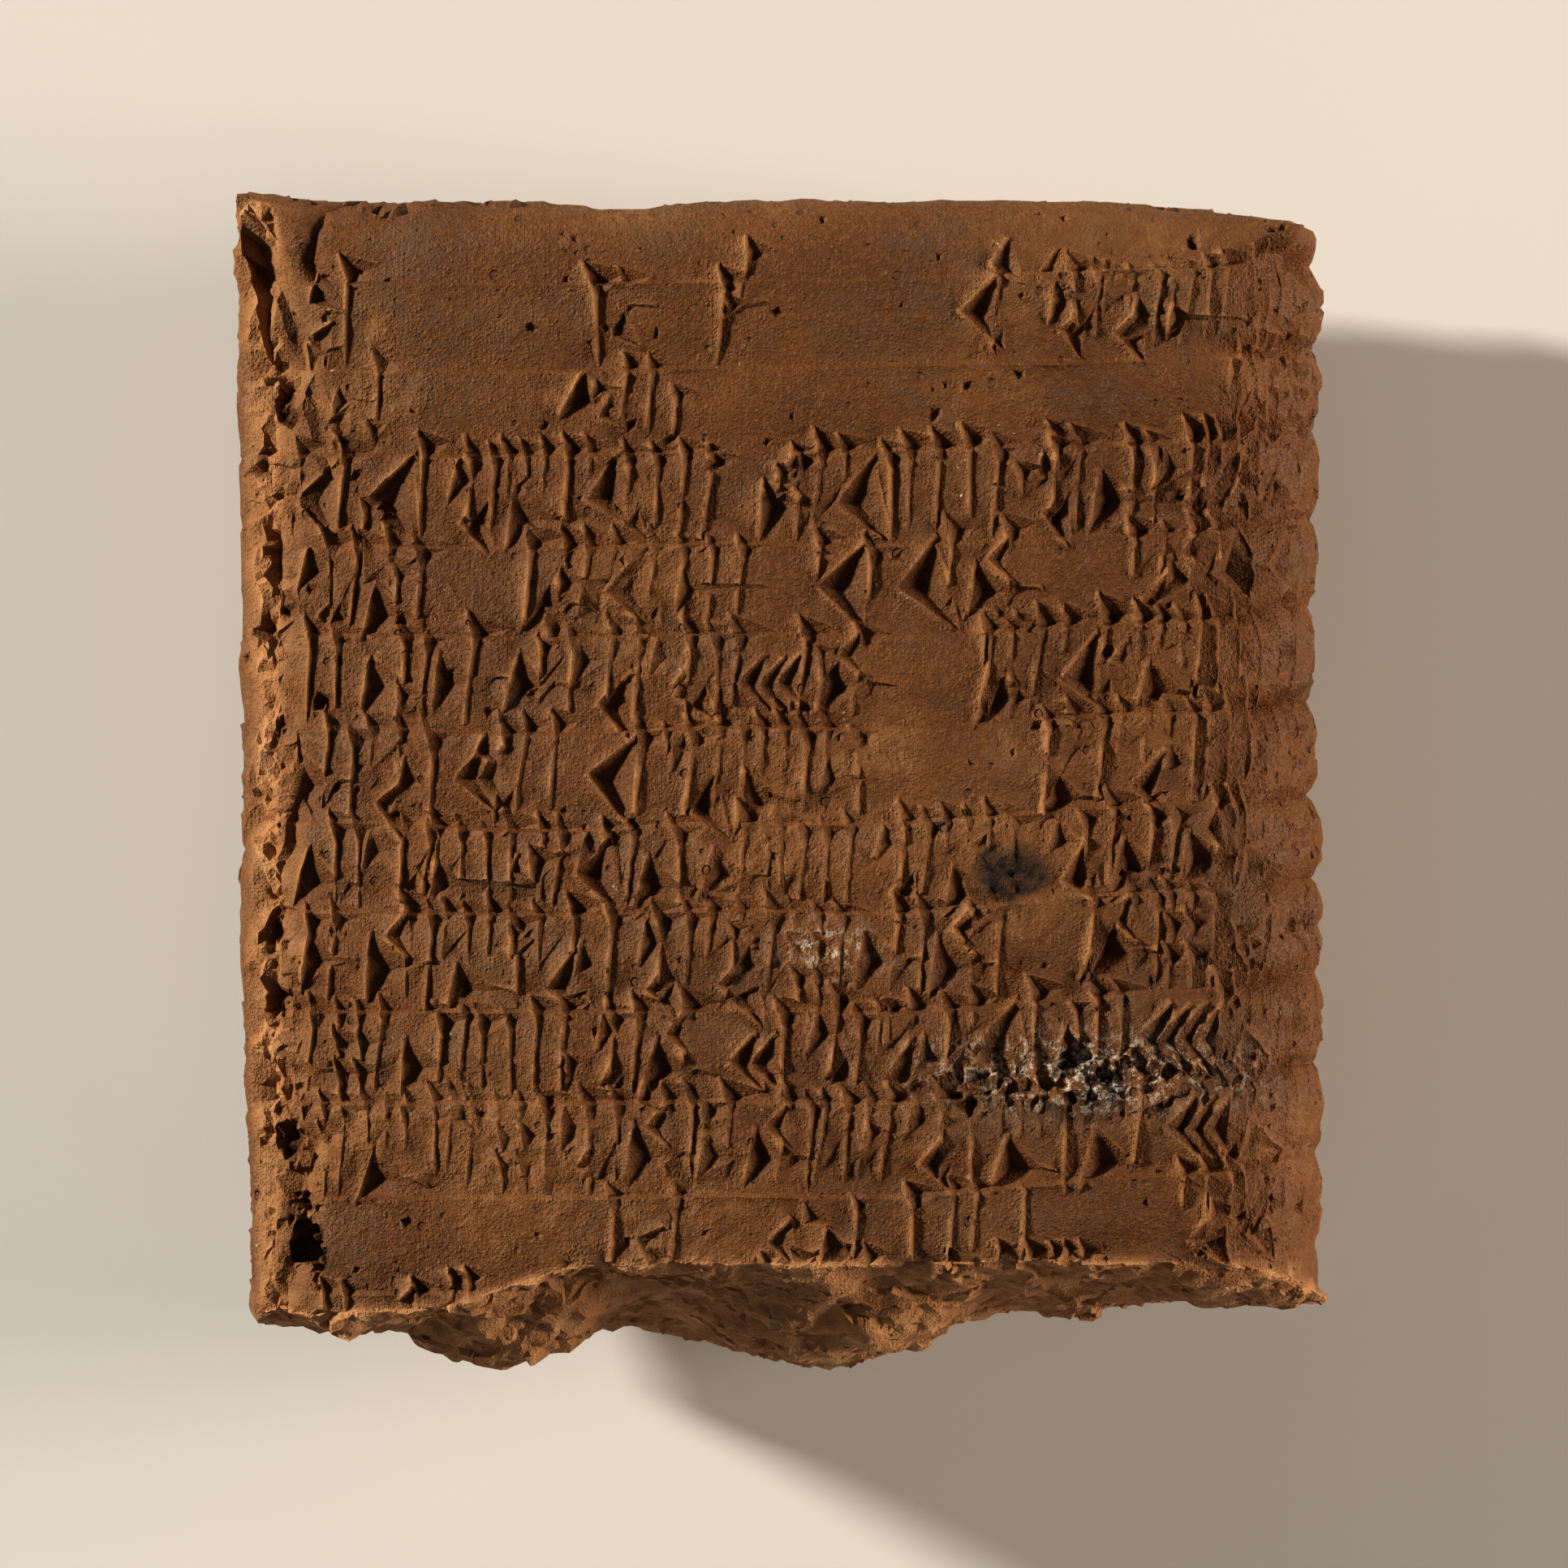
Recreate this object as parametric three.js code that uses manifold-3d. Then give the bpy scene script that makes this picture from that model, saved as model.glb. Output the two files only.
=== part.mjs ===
// Cuneiform tablet: the upper part of a thick, cushion-shaped clay tablet, broken across the bottom.
// One solid of fired clay. Millimetres, +Z up, lying on the middle of its domed reverse.
//
// The body is worked out in the tablet's own frame first:
//   x  across the text, from the flat left edge to the rounded right edge
//   y  up the text, from the break to the top edge
//   z  out of the obverse; the highest part of the obverse is at z = 0
// It is then tilted so that the flat spot under the reverse lies on the ground, and centred on its own box.

import * as THREE from "three";
import { mergeVertices } from "three/addons/utils/BufferGeometryUtils.js";
import Module from "manifold-3d";

// ---- driving dimensions -------------------------------------------------------------------------
const LEFT_X = -39.4;            // flat left edge
const RIGHT_X = 39.2;            // crown of the rounded right edge
const TOP_Y = 42.3;              // crown of the top edge
const THICKNESS = 37.0;          // obverse crown to reverse crown, near the break
const BREAK_BODY_Y = -39.8;      // mean level of the fracture inside the body
const BREAK_LEFT_Y = -38.0;      // where the obverse ends at the left
const BREAK_RIGHT_Y = -34.8;     // where the obverse ends in the middle and at the right

const OBVERSE_MEAN = -1.4;       // lengthwise wave of the obverse
const OBVERSE_WAVE = 1.2;
const OBVERSE_WAVE_Y = -20.0;    // where the wave is highest
const OBVERSE_WAVE_HALF = 46.0;
const OBVERSE_LEFT_FALL = 5.2;   // fall of the obverse towards the left corner
const OBVERSE_LEFT_REACH = 45.5;
const OBVERSE_RIGHT_FALL = 1.8;

const REVERSE_CROWN_Y = -25.0;   // the reverse domes lengthwise about this line
const REVERSE_RISE = 8.5;        // how far it has risen 61 mm further up
const REVERSE_RISE_REACH = 61.0;
const REVERSE_LEFT = [10.0, 4.5];   // crosswise dome at the left: near the break, near the top
const REVERSE_RIGHT = [7.5, 2.5];   // and at the right

const EDGE_R_LEFT = 0.9;         // the left edge meets both faces at nearly sharp corners
const EDGE_R_RIGHT_OBVERSE = 11.0;
const EDGE_R_RIGHT_REVERSE = 2.6;
const EDGE_R_TOP = 6.5;
const EDGE_R_BREAK = 0.5;

const OBVERSE_LINES = [42.3, 36.0, 29.6, 23.6, 17.0, 10.6, 3.7, -3.2, -9.4, -16.5, -23.1, -29.9, -36.6];
const LINE_RISE_RIGHT = 1.3;     // the lines climb towards the right
const OBVERSE_ROW_DEPTH = 0.42;
const REVERSE_FIRST_LINE = 41.0;
const REVERSE_PITCH = 5.4;
const REVERSE_ROWS = 15;
const REVERSE_ROW_DEPTH = 0.36;
const RIGHT_RIB_DEPTH = 0.95;
const TOP_FIRST_LINE = -5.2;
const TOP_PITCH = 5.6;
const TOP_ROW_DEPTH = 0.3;

const TILT_DEG = 6.3;            // the obverse leans this far when the tablet lies on its reverse
const FLAT_SPOT_DEPTH = 0.6;     // worn flat under the reverse
const FLAT_SPOT_CLEAR = 13.5;    // no wedges are cut this near the middle of the flat spot

const SEGMENTS_X = 18;
const SEGMENTS_Z = 7;
const CORE_MARGIN = 9.0;         // surface rays fan out from a core this far inside the box
const SEED = 20417;

// hollows left by chips and worn patches: centre and half-sizes
const CHIPS = [
  { at: [-38.6, 37.2, -5.4], size: [1.9, 4.6, 2.6] },   // beside the pointed top left corner
  { at: [-44.2, 45.2, -17.0], size: [6.2, 6.2, 9.0] },  // facet at the left end of the top edge
  { at: [-40.2, -31.0, -17.5], size: [1.7, 3.0, 5.2] }, // gouge across the left edge
  { at: [-40.0, 2.0, -6.4], size: [1.5, 8.0, 1.9] },    // splintered left corner of the obverse
  { at: [-34.6, -33.6, -3.2], size: [1.9, 3.6, 1.9] },  // beside the lower left corner
  { at: [-11.6, 42.9, -13.5], size: [4.0, 1.6, 7.0] },  // worn patch in the top edge
];

// ---- small helpers ------------------------------------------------------------------------------
const clamp = (v, a, b) => Math.min(b, Math.max(a, v));
const mix = (a, b, t) => a + (b - a) * t;
const ease = (a, b, v) => {
  const t = clamp((v - a) / (b - a), 0, 1);
  return t * t * (3 - 2 * t);
};
const bell = (v, c, w) => Math.exp(-(((v - c) / w) ** 2));
// two faces meeting in a rounded corner of radius r (inside is negative)
const meet = (a, b, r) => Math.min(Math.max(a, b), -r) + Math.hypot(Math.max(a + r, 0), Math.max(b + r, 0));
function randomFrom(seed) {
  let s = seed >>> 0;
  return () => {
    s = (s + 0x6d2b79f5) >>> 0;
    let t = s;
    t = Math.imul(t ^ (t >>> 15), t | 1);
    t ^= t + Math.imul(t ^ (t >>> 7), t | 61);
    return ((t ^ (t >>> 14)) >>> 0) / 4294967296;
  };
}

// ---- the faces of the body ----------------------------------------------------------------------
function obverseZ(x, y) {
  const wave = OBVERSE_MEAN + OBVERSE_WAVE * Math.cos((Math.PI * (y - OBVERSE_WAVE_Y)) / OBVERSE_WAVE_HALF);
  const left = OBVERSE_LEFT_FALL * clamp((6 - x) / OBVERSE_LEFT_REACH, 0, 1) ** 2.3;
  const right = OBVERSE_RIGHT_FALL * clamp((x - 12) / 27, 0, 1) ** 2;
  return wave - left - right;
}
function reverseZ(x, y) {
  const up = ease(-30, 40, y);
  const left = mix(REVERSE_LEFT[0], REVERSE_LEFT[1], up) * clamp((-5 - x) / 34.5, 0, 1.1) ** 1.9;
  const right = mix(REVERSE_RIGHT[0], REVERSE_RIGHT[1], up) * clamp((x + 5) / 43, 0, 1.1) ** 2.1;
  return -THICKNESS + REVERSE_RISE * ((y - REVERSE_CROWN_Y) / REVERSE_RISE_REACH) ** 2 + left + right;
}
const leftX = (y) => LEFT_X - 0.5 * ease(15, 38, y) + 0.7 * ease(-8, -38, y);
const rightX = (y, z) => RIGHT_X - 1.9 * clamp((-14 - z) / 15, 0, 1.2) ** 2 + 0.5 * bell(y, 36, 5) - 0.4 * bell(y, 10, 9);
const topY = (x) => TOP_Y + 0.5 * ease(-33, -39, x) - 1.4 * ease(22, 39, x) - 0.3 * bell(x, -12.3, 5);
function breakY(x, z) {
  const front = mix(BREAK_LEFT_Y, BREAK_RIGHT_Y, ease(-27, -13, x));
  const lumps =
    -2.7 * bell(x, -22, 6.5) * bell(z, -14, 8) -
    3.2 * bell(x, 3, 7.5) * bell(z, -22, 10) -
    1.8 * bell(x, 22, 9) * bell(z, -30, 8) +
    2.4 * bell(x, -9, 4.5) * bell(z, -10, 9) +
    1.2 * bell(x, 14, 5) * bell(z, -14, 6);
  const corner = 4.5 * ease(-22, -38, x) * ease(-12, -28, z) + 2.2 * ease(27, 39, x) * ease(-18, -30, z) + 2.3 * ease(9, 17, x);
  return mix(front, BREAK_BODY_Y + lumps + corner, ease(-0.5, -13, z)) + 0.9 * ease(-31, -36, z);
}

// negative inside the body, zero on its surface
function body(x, y, z) {
  let f = Math.max(z - obverseZ(x, y), reverseZ(x, y) - z);
  const topR = mix(1.2, EDGE_R_TOP, ease(-39, -29, x)) * mix(1, 0.62, ease(28, 38, x));
  f = meet(f, y - topY(x), topR);
  const rightR = mix(EDGE_R_RIGHT_REVERSE, EDGE_R_RIGHT_OBVERSE, ease(-22, -13, z)) * mix(1, 0.3, ease(37, 41, y));
  f = meet(f, x - rightX(y, z), rightR);
  f = meet(f, leftX(y) - x, EDGE_R_LEFT);
  f = meet(f, breakY(x, z) - y, EDGE_R_BREAK);
  for (const { at, size } of CHIPS) {
    const d = Math.hypot((x - at[0]) / size[0], (y - at[1]) / size[1], (z - at[2]) / size[2]);
    f = Math.max(f, (1 - d) * Math.min(...size));
  }
  return f;
}

// follows a ray from inside the body to its surface
function surfaceAlong(o, d) {
  let near = 0;
  let far = 40;
  for (let i = 0; i < 34; i++) {
    const t = (near + far) / 2;
    if (body(o[0] + d[0] * t, o[1] + d[1] * t, o[2] + d[2] * t) < 0) near = t;
    else far = t;
  }
  return new THREE.Vector3(o[0] + d[0] * near, o[1] + d[1] * near, o[2] + d[2] * near);
}
function outward(p) {
  const e = 0.25;
  return new THREE.Vector3(
    body(p.x + e, p.y, p.z) - body(p.x - e, p.y, p.z),
    body(p.x, p.y + e, p.z) - body(p.x, p.y - e, p.z),
    body(p.x, p.y, p.z + e) - body(p.x, p.y, p.z - e),
  ).normalize();
}

// ---- rows of text as relief ---------------------------------------------------------------------
const lineClimb = (x, y) => LINE_RISE_RIGHT * ease(0, 33, x) * mix(1.5, 0.7, ease(-35, 35, y)) + 1.2 * ease(30, 39, x);
function rowShare(v, lines) {
  // 0 just below a line, 1 at the next line
  for (let i = 0; i + 1 < lines.length; i++) {
    if (v <= lines[i] && v > lines[i + 1]) return (lines[i] - v) / (lines[i] - lines[i + 1]);
  }
  return 0;
}
const sag = (s) => ease(0.5, 0.92, s) - ease(0.94, 1.0, s);
const reverseLines = Array.from({ length: REVERSE_ROWS + 1 }, (_, i) => REVERSE_FIRST_LINE - i * REVERSE_PITCH);
const topLines = Array.from({ length: 5 }, (_, i) => TOP_FIRST_LINE - i * TOP_PITCH);
function relief(p, n) {
  const inside = ease(-34.5, -31.5, p.y) + ease(-31.5, -34.5, p.y) * 0.5;
  let d = 0;
  const front = ease(0.45, 0.8, n.z) * ease(-36, -33, p.x);
  if (front > 0) d += front * OBVERSE_ROW_DEPTH * sag(rowShare(p.y - lineClimb(p.x, p.y), OBVERSE_LINES));
  const right = ease(0.35, 0.75, n.x) * ease(41, 38, p.y);
  if (right > 0) {
    const s = rowShare(p.y - lineClimb(p.x, p.y), OBVERSE_LINES);
    d += right * RIGHT_RIB_DEPTH * (1 - Math.sin(Math.PI * s) ** 0.7);
  }
  const back = ease(-0.55, -0.85, n.z);
  if (back > 0) d += back * REVERSE_ROW_DEPTH * sag(1 - rowShare(p.y, reverseLines));
  const top = ease(0.55, 0.85, n.y);
  if (top > 0) d += top * TOP_ROW_DEPTH * sag(1 - rowShare(p.z, topLines));
  return -d * inside;
}

// ---- closed grid over a box, drawn out to the body ------------------------------------------------
// Grid lines across the text follow the rows of each face, so every row keeps its own ridge and trough.
function gridLines(lines, shares, count) {
  const out = [];
  for (let i = 0; i + 1 < lines.length; i++) {
    for (const s of shares) out.push(mix(lines[i], lines[i + 1], s));
  }
  out.push(lines[lines.length - 1]);
  while (out.length < count) {
    let widest = 0;
    for (let i = 0; i + 1 < out.length; i++) {
      if (out[i] - out[i + 1] > out[widest] - out[widest + 1]) widest = i;
    }
    out.splice(widest + 1, 0, (out[widest] + out[widest + 1]) / 2);
  }
  return out.reverse();
}
const frontGrid = gridLines(OBVERSE_LINES.slice(0, -1).concat([-38.6]), [0, 0.5, 0.9], 0);
const backGrid = gridLines(reverseLines.slice(0, -1).concat([-40.0]), [0, 0.8], 0);
const lineCount = Math.max(frontGrid.length, backGrid.length);
const frontY = gridLines(frontGrid.slice().reverse(), [0], lineCount);
const backY = gridLines(backGrid.slice().reverse(), [0], lineCount);
const SEGMENTS_Y = lineCount - 1;

const LOW = [LEFT_X, Math.min(frontY[0], backY[0]), -THICKNESS];
const HIGH = [RIGHT_X, Math.max(frontY[SEGMENTS_Y], backY[SEGMENTS_Y]), 0];

function gridPoint(i, j, k) {
  const across = mix(LOW[0], HIGH[0], i / SEGMENTS_X);
  const depth = mix(LOW[2], HIGH[2], k / SEGMENTS_Z);
  const side = ease(0.15, 0.6, k / SEGMENTS_Z);
  let along = mix(backY[j], frontY[j], side);
  if (j === 0) along = LOW[1];
  if (j === SEGMENTS_Y) along = HIGH[1];
  const q = [across, along, depth];
  const o = q.map((v, a) => clamp(v, LOW[a] + CORE_MARGIN, HIGH[a] - CORE_MARGIN));
  const d = q.map((v, a) => v - o[a]);
  const length = Math.hypot(...d);
  const p = surfaceAlong(o, d.map((v) => v / length));
  const n = outward(p);
  return p.addScaledVector(n, relief(p, n));
}

const positions = [];
const indices = [];
const known = new Map();
function vertex(i, j, k) {
  const key = `${i},${j},${k}`;
  if (!known.has(key)) {
    const p = gridPoint(i, j, k);
    known.set(key, positions.length / 3);
    positions.push(p.x, p.y, p.z);
  }
  return known.get(key);
}
// each side: its two running axes, the fixed axis and whether it is at the high end
const SPAN = [SEGMENTS_X, SEGMENTS_Y, SEGMENTS_Z];
for (const fixed of [0, 1, 2]) {
  const a = (fixed + 1) % 3;
  const b = (fixed + 2) % 3;
  for (const high of [0, 1]) {
    for (let u = 0; u < SPAN[a]; u++) {
      for (let v = 0; v < SPAN[b]; v++) {
        const corner = (du, dv) => {
          const g = [0, 0, 0];
          g[fixed] = high * SPAN[fixed];
          g[a] = u + du;
          g[b] = v + dv;
          return vertex(...g);
        };
        const [p, q, r, s] = [corner(0, 0), corner(1, 0), corner(1, 1), corner(0, 1)];
        if (high) indices.push(p, q, r, p, r, s);
        else indices.push(p, r, q, p, s, r);
      }
    }
  }
}

// ---- tilt it on to the ground and wear the flat spot ----------------------------------------------
const tilt = new THREE.Matrix4().makeRotationX(THREE.MathUtils.degToRad(-TILT_DEG));
const toGround = (v) => v.applyMatrix4(tilt);
let lowest = Infinity;
for (let i = 0; i < positions.length; i += 3) {
  const v = toGround(new THREE.Vector3(positions[i], positions[i + 1], positions[i + 2]));
  positions[i] = v.x;
  positions[i + 1] = v.y;
  positions[i + 2] = v.z;
  lowest = Math.min(lowest, v.z);
}
const ground = lowest + FLAT_SPOT_DEPTH;
let flatX = 0;
let flatY = 0;
let flatCount = 0;
for (let i = 0; i < positions.length; i += 3) {
  if (positions[i + 2] < ground) {
    positions[i + 2] = ground;
    flatX += positions[i];
    flatY += positions[i + 1];
    flatCount += 1;
  }
}
const flatSpot = new THREE.Vector2(flatX / flatCount, flatY / flatCount);

// ---- wedges pressed into the clay -----------------------------------------------------------------
// A wedge is a four-cornered solid: three corners stand above the surface, and the apex is the deepest point of the pit.
const random = randomFrom(SEED);
const between = (a, b) => a + (b - a) * random();
const LIFT = 0.9;
const wedges = [];
function pressWedge(from, along, up, kind, scale) {
  const p = surfaceAlong(from, along);
  const n = outward(p);
  p.addScaledVector(n, relief(p, n));
  const u = new THREE.Vector3(...up).addScaledVector(n, -n.dot(new THREE.Vector3(...up))).normalize();
  const r = new THREE.Vector3().crossVectors(u, n);
  const turn = between(-0.16, 0.16);
  const shapes = {
    upright: { plan: [[-0.8, 0.1], [1.7, -0.1], [0.1, -5.2]], apex: [0.15, -0.8], depth: 1.2 },
    level: { plan: [[-0.1, 1.1], [4.2, -0.1], [0.1, -1.2]], apex: [0.75, 0.05], depth: 1.1 },
    corner: { plan: [[-0.2, 0], [2.1, 1.7], [2.3, -1.8]], apex: [0.75, 0], depth: 1.15 },
  };
  const { plan, apex, depth } = shapes[kind];
  const place = ([a, b], height) => {
    const ca = (a * Math.cos(turn) - b * Math.sin(turn)) * scale;
    const cb = (a * Math.sin(turn) + b * Math.cos(turn)) * scale;
    return p.clone().addScaledVector(r, ca).addScaledVector(u, cb).addScaledVector(n, height);
  };
  const bottom = place(apex, -depth * scale);
  const stretch = (depth * scale + LIFT) / (depth * scale);
  const top = plan.map((c) => place(c, 0).sub(bottom).multiplyScalar(stretch).add(bottom));
  const corners = [bottom, ...top].map(toGround);
  if (corners[0].z < ground + 2.5 && Math.hypot(corners[0].x - flatSpot.x, corners[0].y - flatSpot.y) < FLAT_SPOT_CLEAR) return;
  wedges.push(corners);
}
const pick = () => {
  const v = random();
  return v < 0.56 ? "upright" : v < 0.8 ? "corner" : "level";
};

// obverse: two open rows at the top, then close writing, then an open row above the break
for (let row = 1; row < 11; row++) {
  const y0 = OBVERSE_LINES[row];
  const pitch = y0 - OBVERSE_LINES[row + 1];
  const open = row < 3 || row === 10;
  for (let x = -31 + between(0, 2); x < 32; x += (open ? 11 : 6.4) * between(0.8, 1.25)) {
    const kind = pick();
    const down = kind === "upright" ? 0.12 : 0.42;
    pressWedge([x, y0 - down * pitch + lineClimb(x, y0), -14], [0, 0, 1], [0, 1, 0], kind, (pitch / 6.6) * between(0.9, 1.08));
  }
}
// right edge: the lines run on round it
for (let row = 2; row < 11; row++) {
  const y0 = OBVERSE_LINES[row];
  const pitch = y0 - OBVERSE_LINES[row + 1];
  for (let z = -12 - between(0, 2); z > -25; z -= 5.6 * between(0.85, 1.2)) {
    const kind = pick();
    const down = kind === "upright" ? 0.22 : 0.5;
    pressWedge([15, y0 - down * pitch + 2.4, z], [1, 0, 0], [0, 1, 0], kind, 0.85 * between(0.9, 1.05));
  }
}
// reverse: written the other way up, in closer rows
for (let row = 0; row < REVERSE_ROWS - 1; row++) {
  const y0 = reverseLines[row + 1];
  for (let x = -33 + between(0, 2.5); x < 33; x += 8.6 * between(0.8, 1.25)) {
    const kind = pick();
    const upward = kind === "upright" ? 0.12 : 0.45;
    pressWedge([x, y0 + upward * REVERSE_PITCH, -15], [0, 0, -1], [0, -1, 0], kind, 0.82 * between(0.9, 1.08));
  }
}
// left edge: three lines of small writing run along it
for (let column = 0; column < 3; column++) {
  for (let y = -29 + between(0, 3); y < 33; y += 7.6 * between(0.8, 1.2)) {
    const kind = pick();
    const head = kind === "upright" ? -0.9 : -3.1;
    pressWedge([-20, y, -24.0 + 5.9 * (column + 1) + head - 5.0], [-1, 0, 0], [0, 0, -1], kind, 0.72 * between(0.9, 1.1));
  }
}
// top edge: three rows below the back corner
for (let row = 1; row < 4; row++) {
  for (let x = -31 + between(0, 3); x < 33; x += 7.6 * between(0.8, 1.2)) {
    if (Math.abs(x + 11.6) < 4.5) continue;
    const kind = pick();
    const head = kind === "upright" ? 0.9 : 2.6;
    pressWedge([x, 25, topLines[row] - TOP_PITCH + head], [0, 1, 0], [0, 0, -1], kind, 0.78 * between(0.9, 1.08));
  }
}

// ---- one closed solid ------------------------------------------------------------------------------
const wasm = await Module();
wasm.setup();
function solidFrom(geometry) {
  const g = geometry.clone();
  g.deleteAttribute("normal");
  g.deleteAttribute("uv");
  const merged = mergeVertices(g, 1e-5);
  return new wasm.Manifold(
    new wasm.Mesh({
      numProp: 3,
      vertProperties: new Float32Array(merged.attributes.position.array),
      triVerts: new Uint32Array(merged.index.array),
    }),
  );
}
const plain = new THREE.BufferGeometry();
plain.setAttribute("position", new THREE.BufferAttribute(new Float32Array(positions), 3));
plain.setIndex(indices);
let tablet = solidFrom(plain);
for (const [bottom, a, b, c] of wedges) {
  const flat = [bottom, a, b, c].flatMap((v) => [v.x, v.y, v.z]);
  const pit = new THREE.BufferGeometry();
  pit.setAttribute("position", new THREE.BufferAttribute(new Float32Array(flat), 3));
  const side = new THREE.Vector3().crossVectors(b.clone().sub(a), c.clone().sub(a)).dot(bottom.clone().sub(a));
  pit.setIndex(side < 0 ? [1, 2, 3, 0, 2, 1, 0, 3, 2, 0, 1, 3] : [1, 3, 2, 0, 1, 2, 0, 2, 3, 0, 3, 1]);
  tablet = tablet.subtract(solidFrom(pit));
}
const cut = tablet.getMesh();
const geometry = new THREE.BufferGeometry();
geometry.setAttribute("position", new THREE.BufferAttribute(new Float32Array(cut.vertProperties), 3));
geometry.setIndex(new THREE.BufferAttribute(new Uint32Array(cut.triVerts), 1));

// origin at the middle of the box, on the ground
geometry.computeBoundingBox();
const { min, max } = geometry.boundingBox;
geometry.translate(-(min.x + max.x) / 2, -(min.y + max.y) / 2, -ground);
geometry.computeVertexNormals();

const clay = new THREE.MeshStandardMaterial({ color: 0x9a6238, roughness: 0.86, metalness: 0 });
const mesh = new THREE.Mesh(geometry, clay);
mesh.name = "tablet";

const group = new THREE.Group();
group.add(mesh);
export default group;
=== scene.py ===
"""Looks of the cuneiform tablet: the full relief of the clay as one closed mesh, its procedural clay material,
a pale floor, soft studio light and a camera square to the written front face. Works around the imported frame."""

import math

import bpy
import numpy as np
from mathutils import Matrix, Vector


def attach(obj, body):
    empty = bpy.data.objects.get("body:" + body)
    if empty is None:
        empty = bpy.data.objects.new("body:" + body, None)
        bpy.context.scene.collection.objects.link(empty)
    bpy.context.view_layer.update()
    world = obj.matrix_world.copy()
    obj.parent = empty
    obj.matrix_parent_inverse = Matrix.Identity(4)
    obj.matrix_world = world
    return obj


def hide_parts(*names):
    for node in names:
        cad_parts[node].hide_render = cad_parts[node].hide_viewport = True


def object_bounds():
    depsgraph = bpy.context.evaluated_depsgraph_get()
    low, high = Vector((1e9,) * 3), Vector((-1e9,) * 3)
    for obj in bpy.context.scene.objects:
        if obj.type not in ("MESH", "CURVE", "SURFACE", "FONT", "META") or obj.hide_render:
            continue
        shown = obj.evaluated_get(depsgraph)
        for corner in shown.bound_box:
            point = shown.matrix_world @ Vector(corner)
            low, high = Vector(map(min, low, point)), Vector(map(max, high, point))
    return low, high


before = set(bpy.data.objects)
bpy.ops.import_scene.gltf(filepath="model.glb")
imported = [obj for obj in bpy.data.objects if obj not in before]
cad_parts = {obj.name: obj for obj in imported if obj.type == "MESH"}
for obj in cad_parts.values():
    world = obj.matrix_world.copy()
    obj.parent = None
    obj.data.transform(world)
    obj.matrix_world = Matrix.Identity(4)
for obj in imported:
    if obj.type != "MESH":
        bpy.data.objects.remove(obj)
cad_lo, cad_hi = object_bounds()

GRID = 0.148          # mm between neighbouring grid points before thinning
TARGET_TRIS = 198500
SEED = 20417
rng = np.random.default_rng(SEED)
F = np.float32

# =====================================================================================================
# 1. The body, in the tablet's own frame (mm): x across the text, y up to the top edge, z out of the front.
#    The same sizes and functions as the CAD solid.
# =====================================================================================================
LEFT_X, RIGHT_X, TOP_Y, THICKNESS = -39.4, 39.2, 42.3, 37.0
BREAK_BODY_Y, BREAK_LEFT_Y, BREAK_RIGHT_Y = -39.8, -38.0, -34.8
TILT = math.radians(6.3)
CAD_SHIFT = (0.3513469696044922, 1.9554176330566406, 34.75831234133471)  # box centre to the origin, ground to zero

FRONT_LINES = [42.3, 36.0, 29.6, 23.6, 17.0, 10.6, 3.7, -3.2, -9.4, -16.5, -23.1, -29.9, -36.6]
BACK_FIRST, BACK_PITCH, BACK_ROWS = 41.0, 5.4, 15
BACK_LINES = [BACK_FIRST - i * BACK_PITCH for i in range(BACK_ROWS + 1)]
TOP_LINES = [-7.0, -12.6, -18.2, -23.8, -29.4]
LEFT_LINES = [-6.6, -12.6, -18.6, -24.6]

CHIPS = [
    ((-38.6, 37.2, -5.4), (1.9, 4.6, 2.6)),
    ((-44.2, 45.2, -17.0), (6.2, 6.2, 9.0)),
    ((-40.2, -31.0, -17.5), (1.7, 3.0, 5.2)),
    ((-40.0, 2.0, -6.4), (1.5, 8.0, 1.9)),
    ((-34.6, -33.6, -3.2), (1.9, 3.6, 1.9)),
    ((-11.6, 42.9, -13.5), (4.0, 1.6, 7.0)),
]


def ease(a, b, v):
    t = np.clip((v - a) / (b - a), 0, 1)
    return t * t * (3 - 2 * t)


def mix(a, b, t):
    return a + (b - a) * t


def bell(v, c, w):
    return np.exp(-(((v - c) / w) ** 2))


def meet(a, b, r):
    return np.minimum(np.maximum(a, b), -r) + np.hypot(np.maximum(a + r, 0), np.maximum(b + r, 0))


def front_z(x, y):
    wave = -1.4 + 1.2 * np.cos(math.pi * (y + 20.0) / 46.0)
    left = 5.2 * np.clip((6 - x) / 45.5, 0, 1) ** 2.3
    right = 1.8 * np.clip((x - 12) / 27, 0, 1) ** 2
    return wave - left - right


def back_z(x, y):
    up = ease(-30, 40, y)
    left = mix(10.0, 4.5, up) * np.clip((-5 - x) / 34.5, 0, 1.1) ** 1.9
    right = mix(7.5, 2.5, up) * np.clip((x + 5) / 43, 0, 1.1) ** 2.1
    return -THICKNESS + 8.5 * ((y + 25.0) / 61.0) ** 2 + left + right


def left_x(y):
    return LEFT_X - 0.5 * ease(15, 38, y) + 0.7 * ease(-8, -38, y)


def right_x(y, z):
    return RIGHT_X - 1.9 * np.clip((-14 - z) / 15, 0, 1.2) ** 2 + 0.5 * bell(y, 36, 5) - 0.4 * bell(y, 10, 9)


def top_y(x):
    return TOP_Y + 0.5 * ease(-33, -39, x) - 1.4 * ease(22, 39, x) - 0.3 * bell(x, -12.3, 5)


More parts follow.
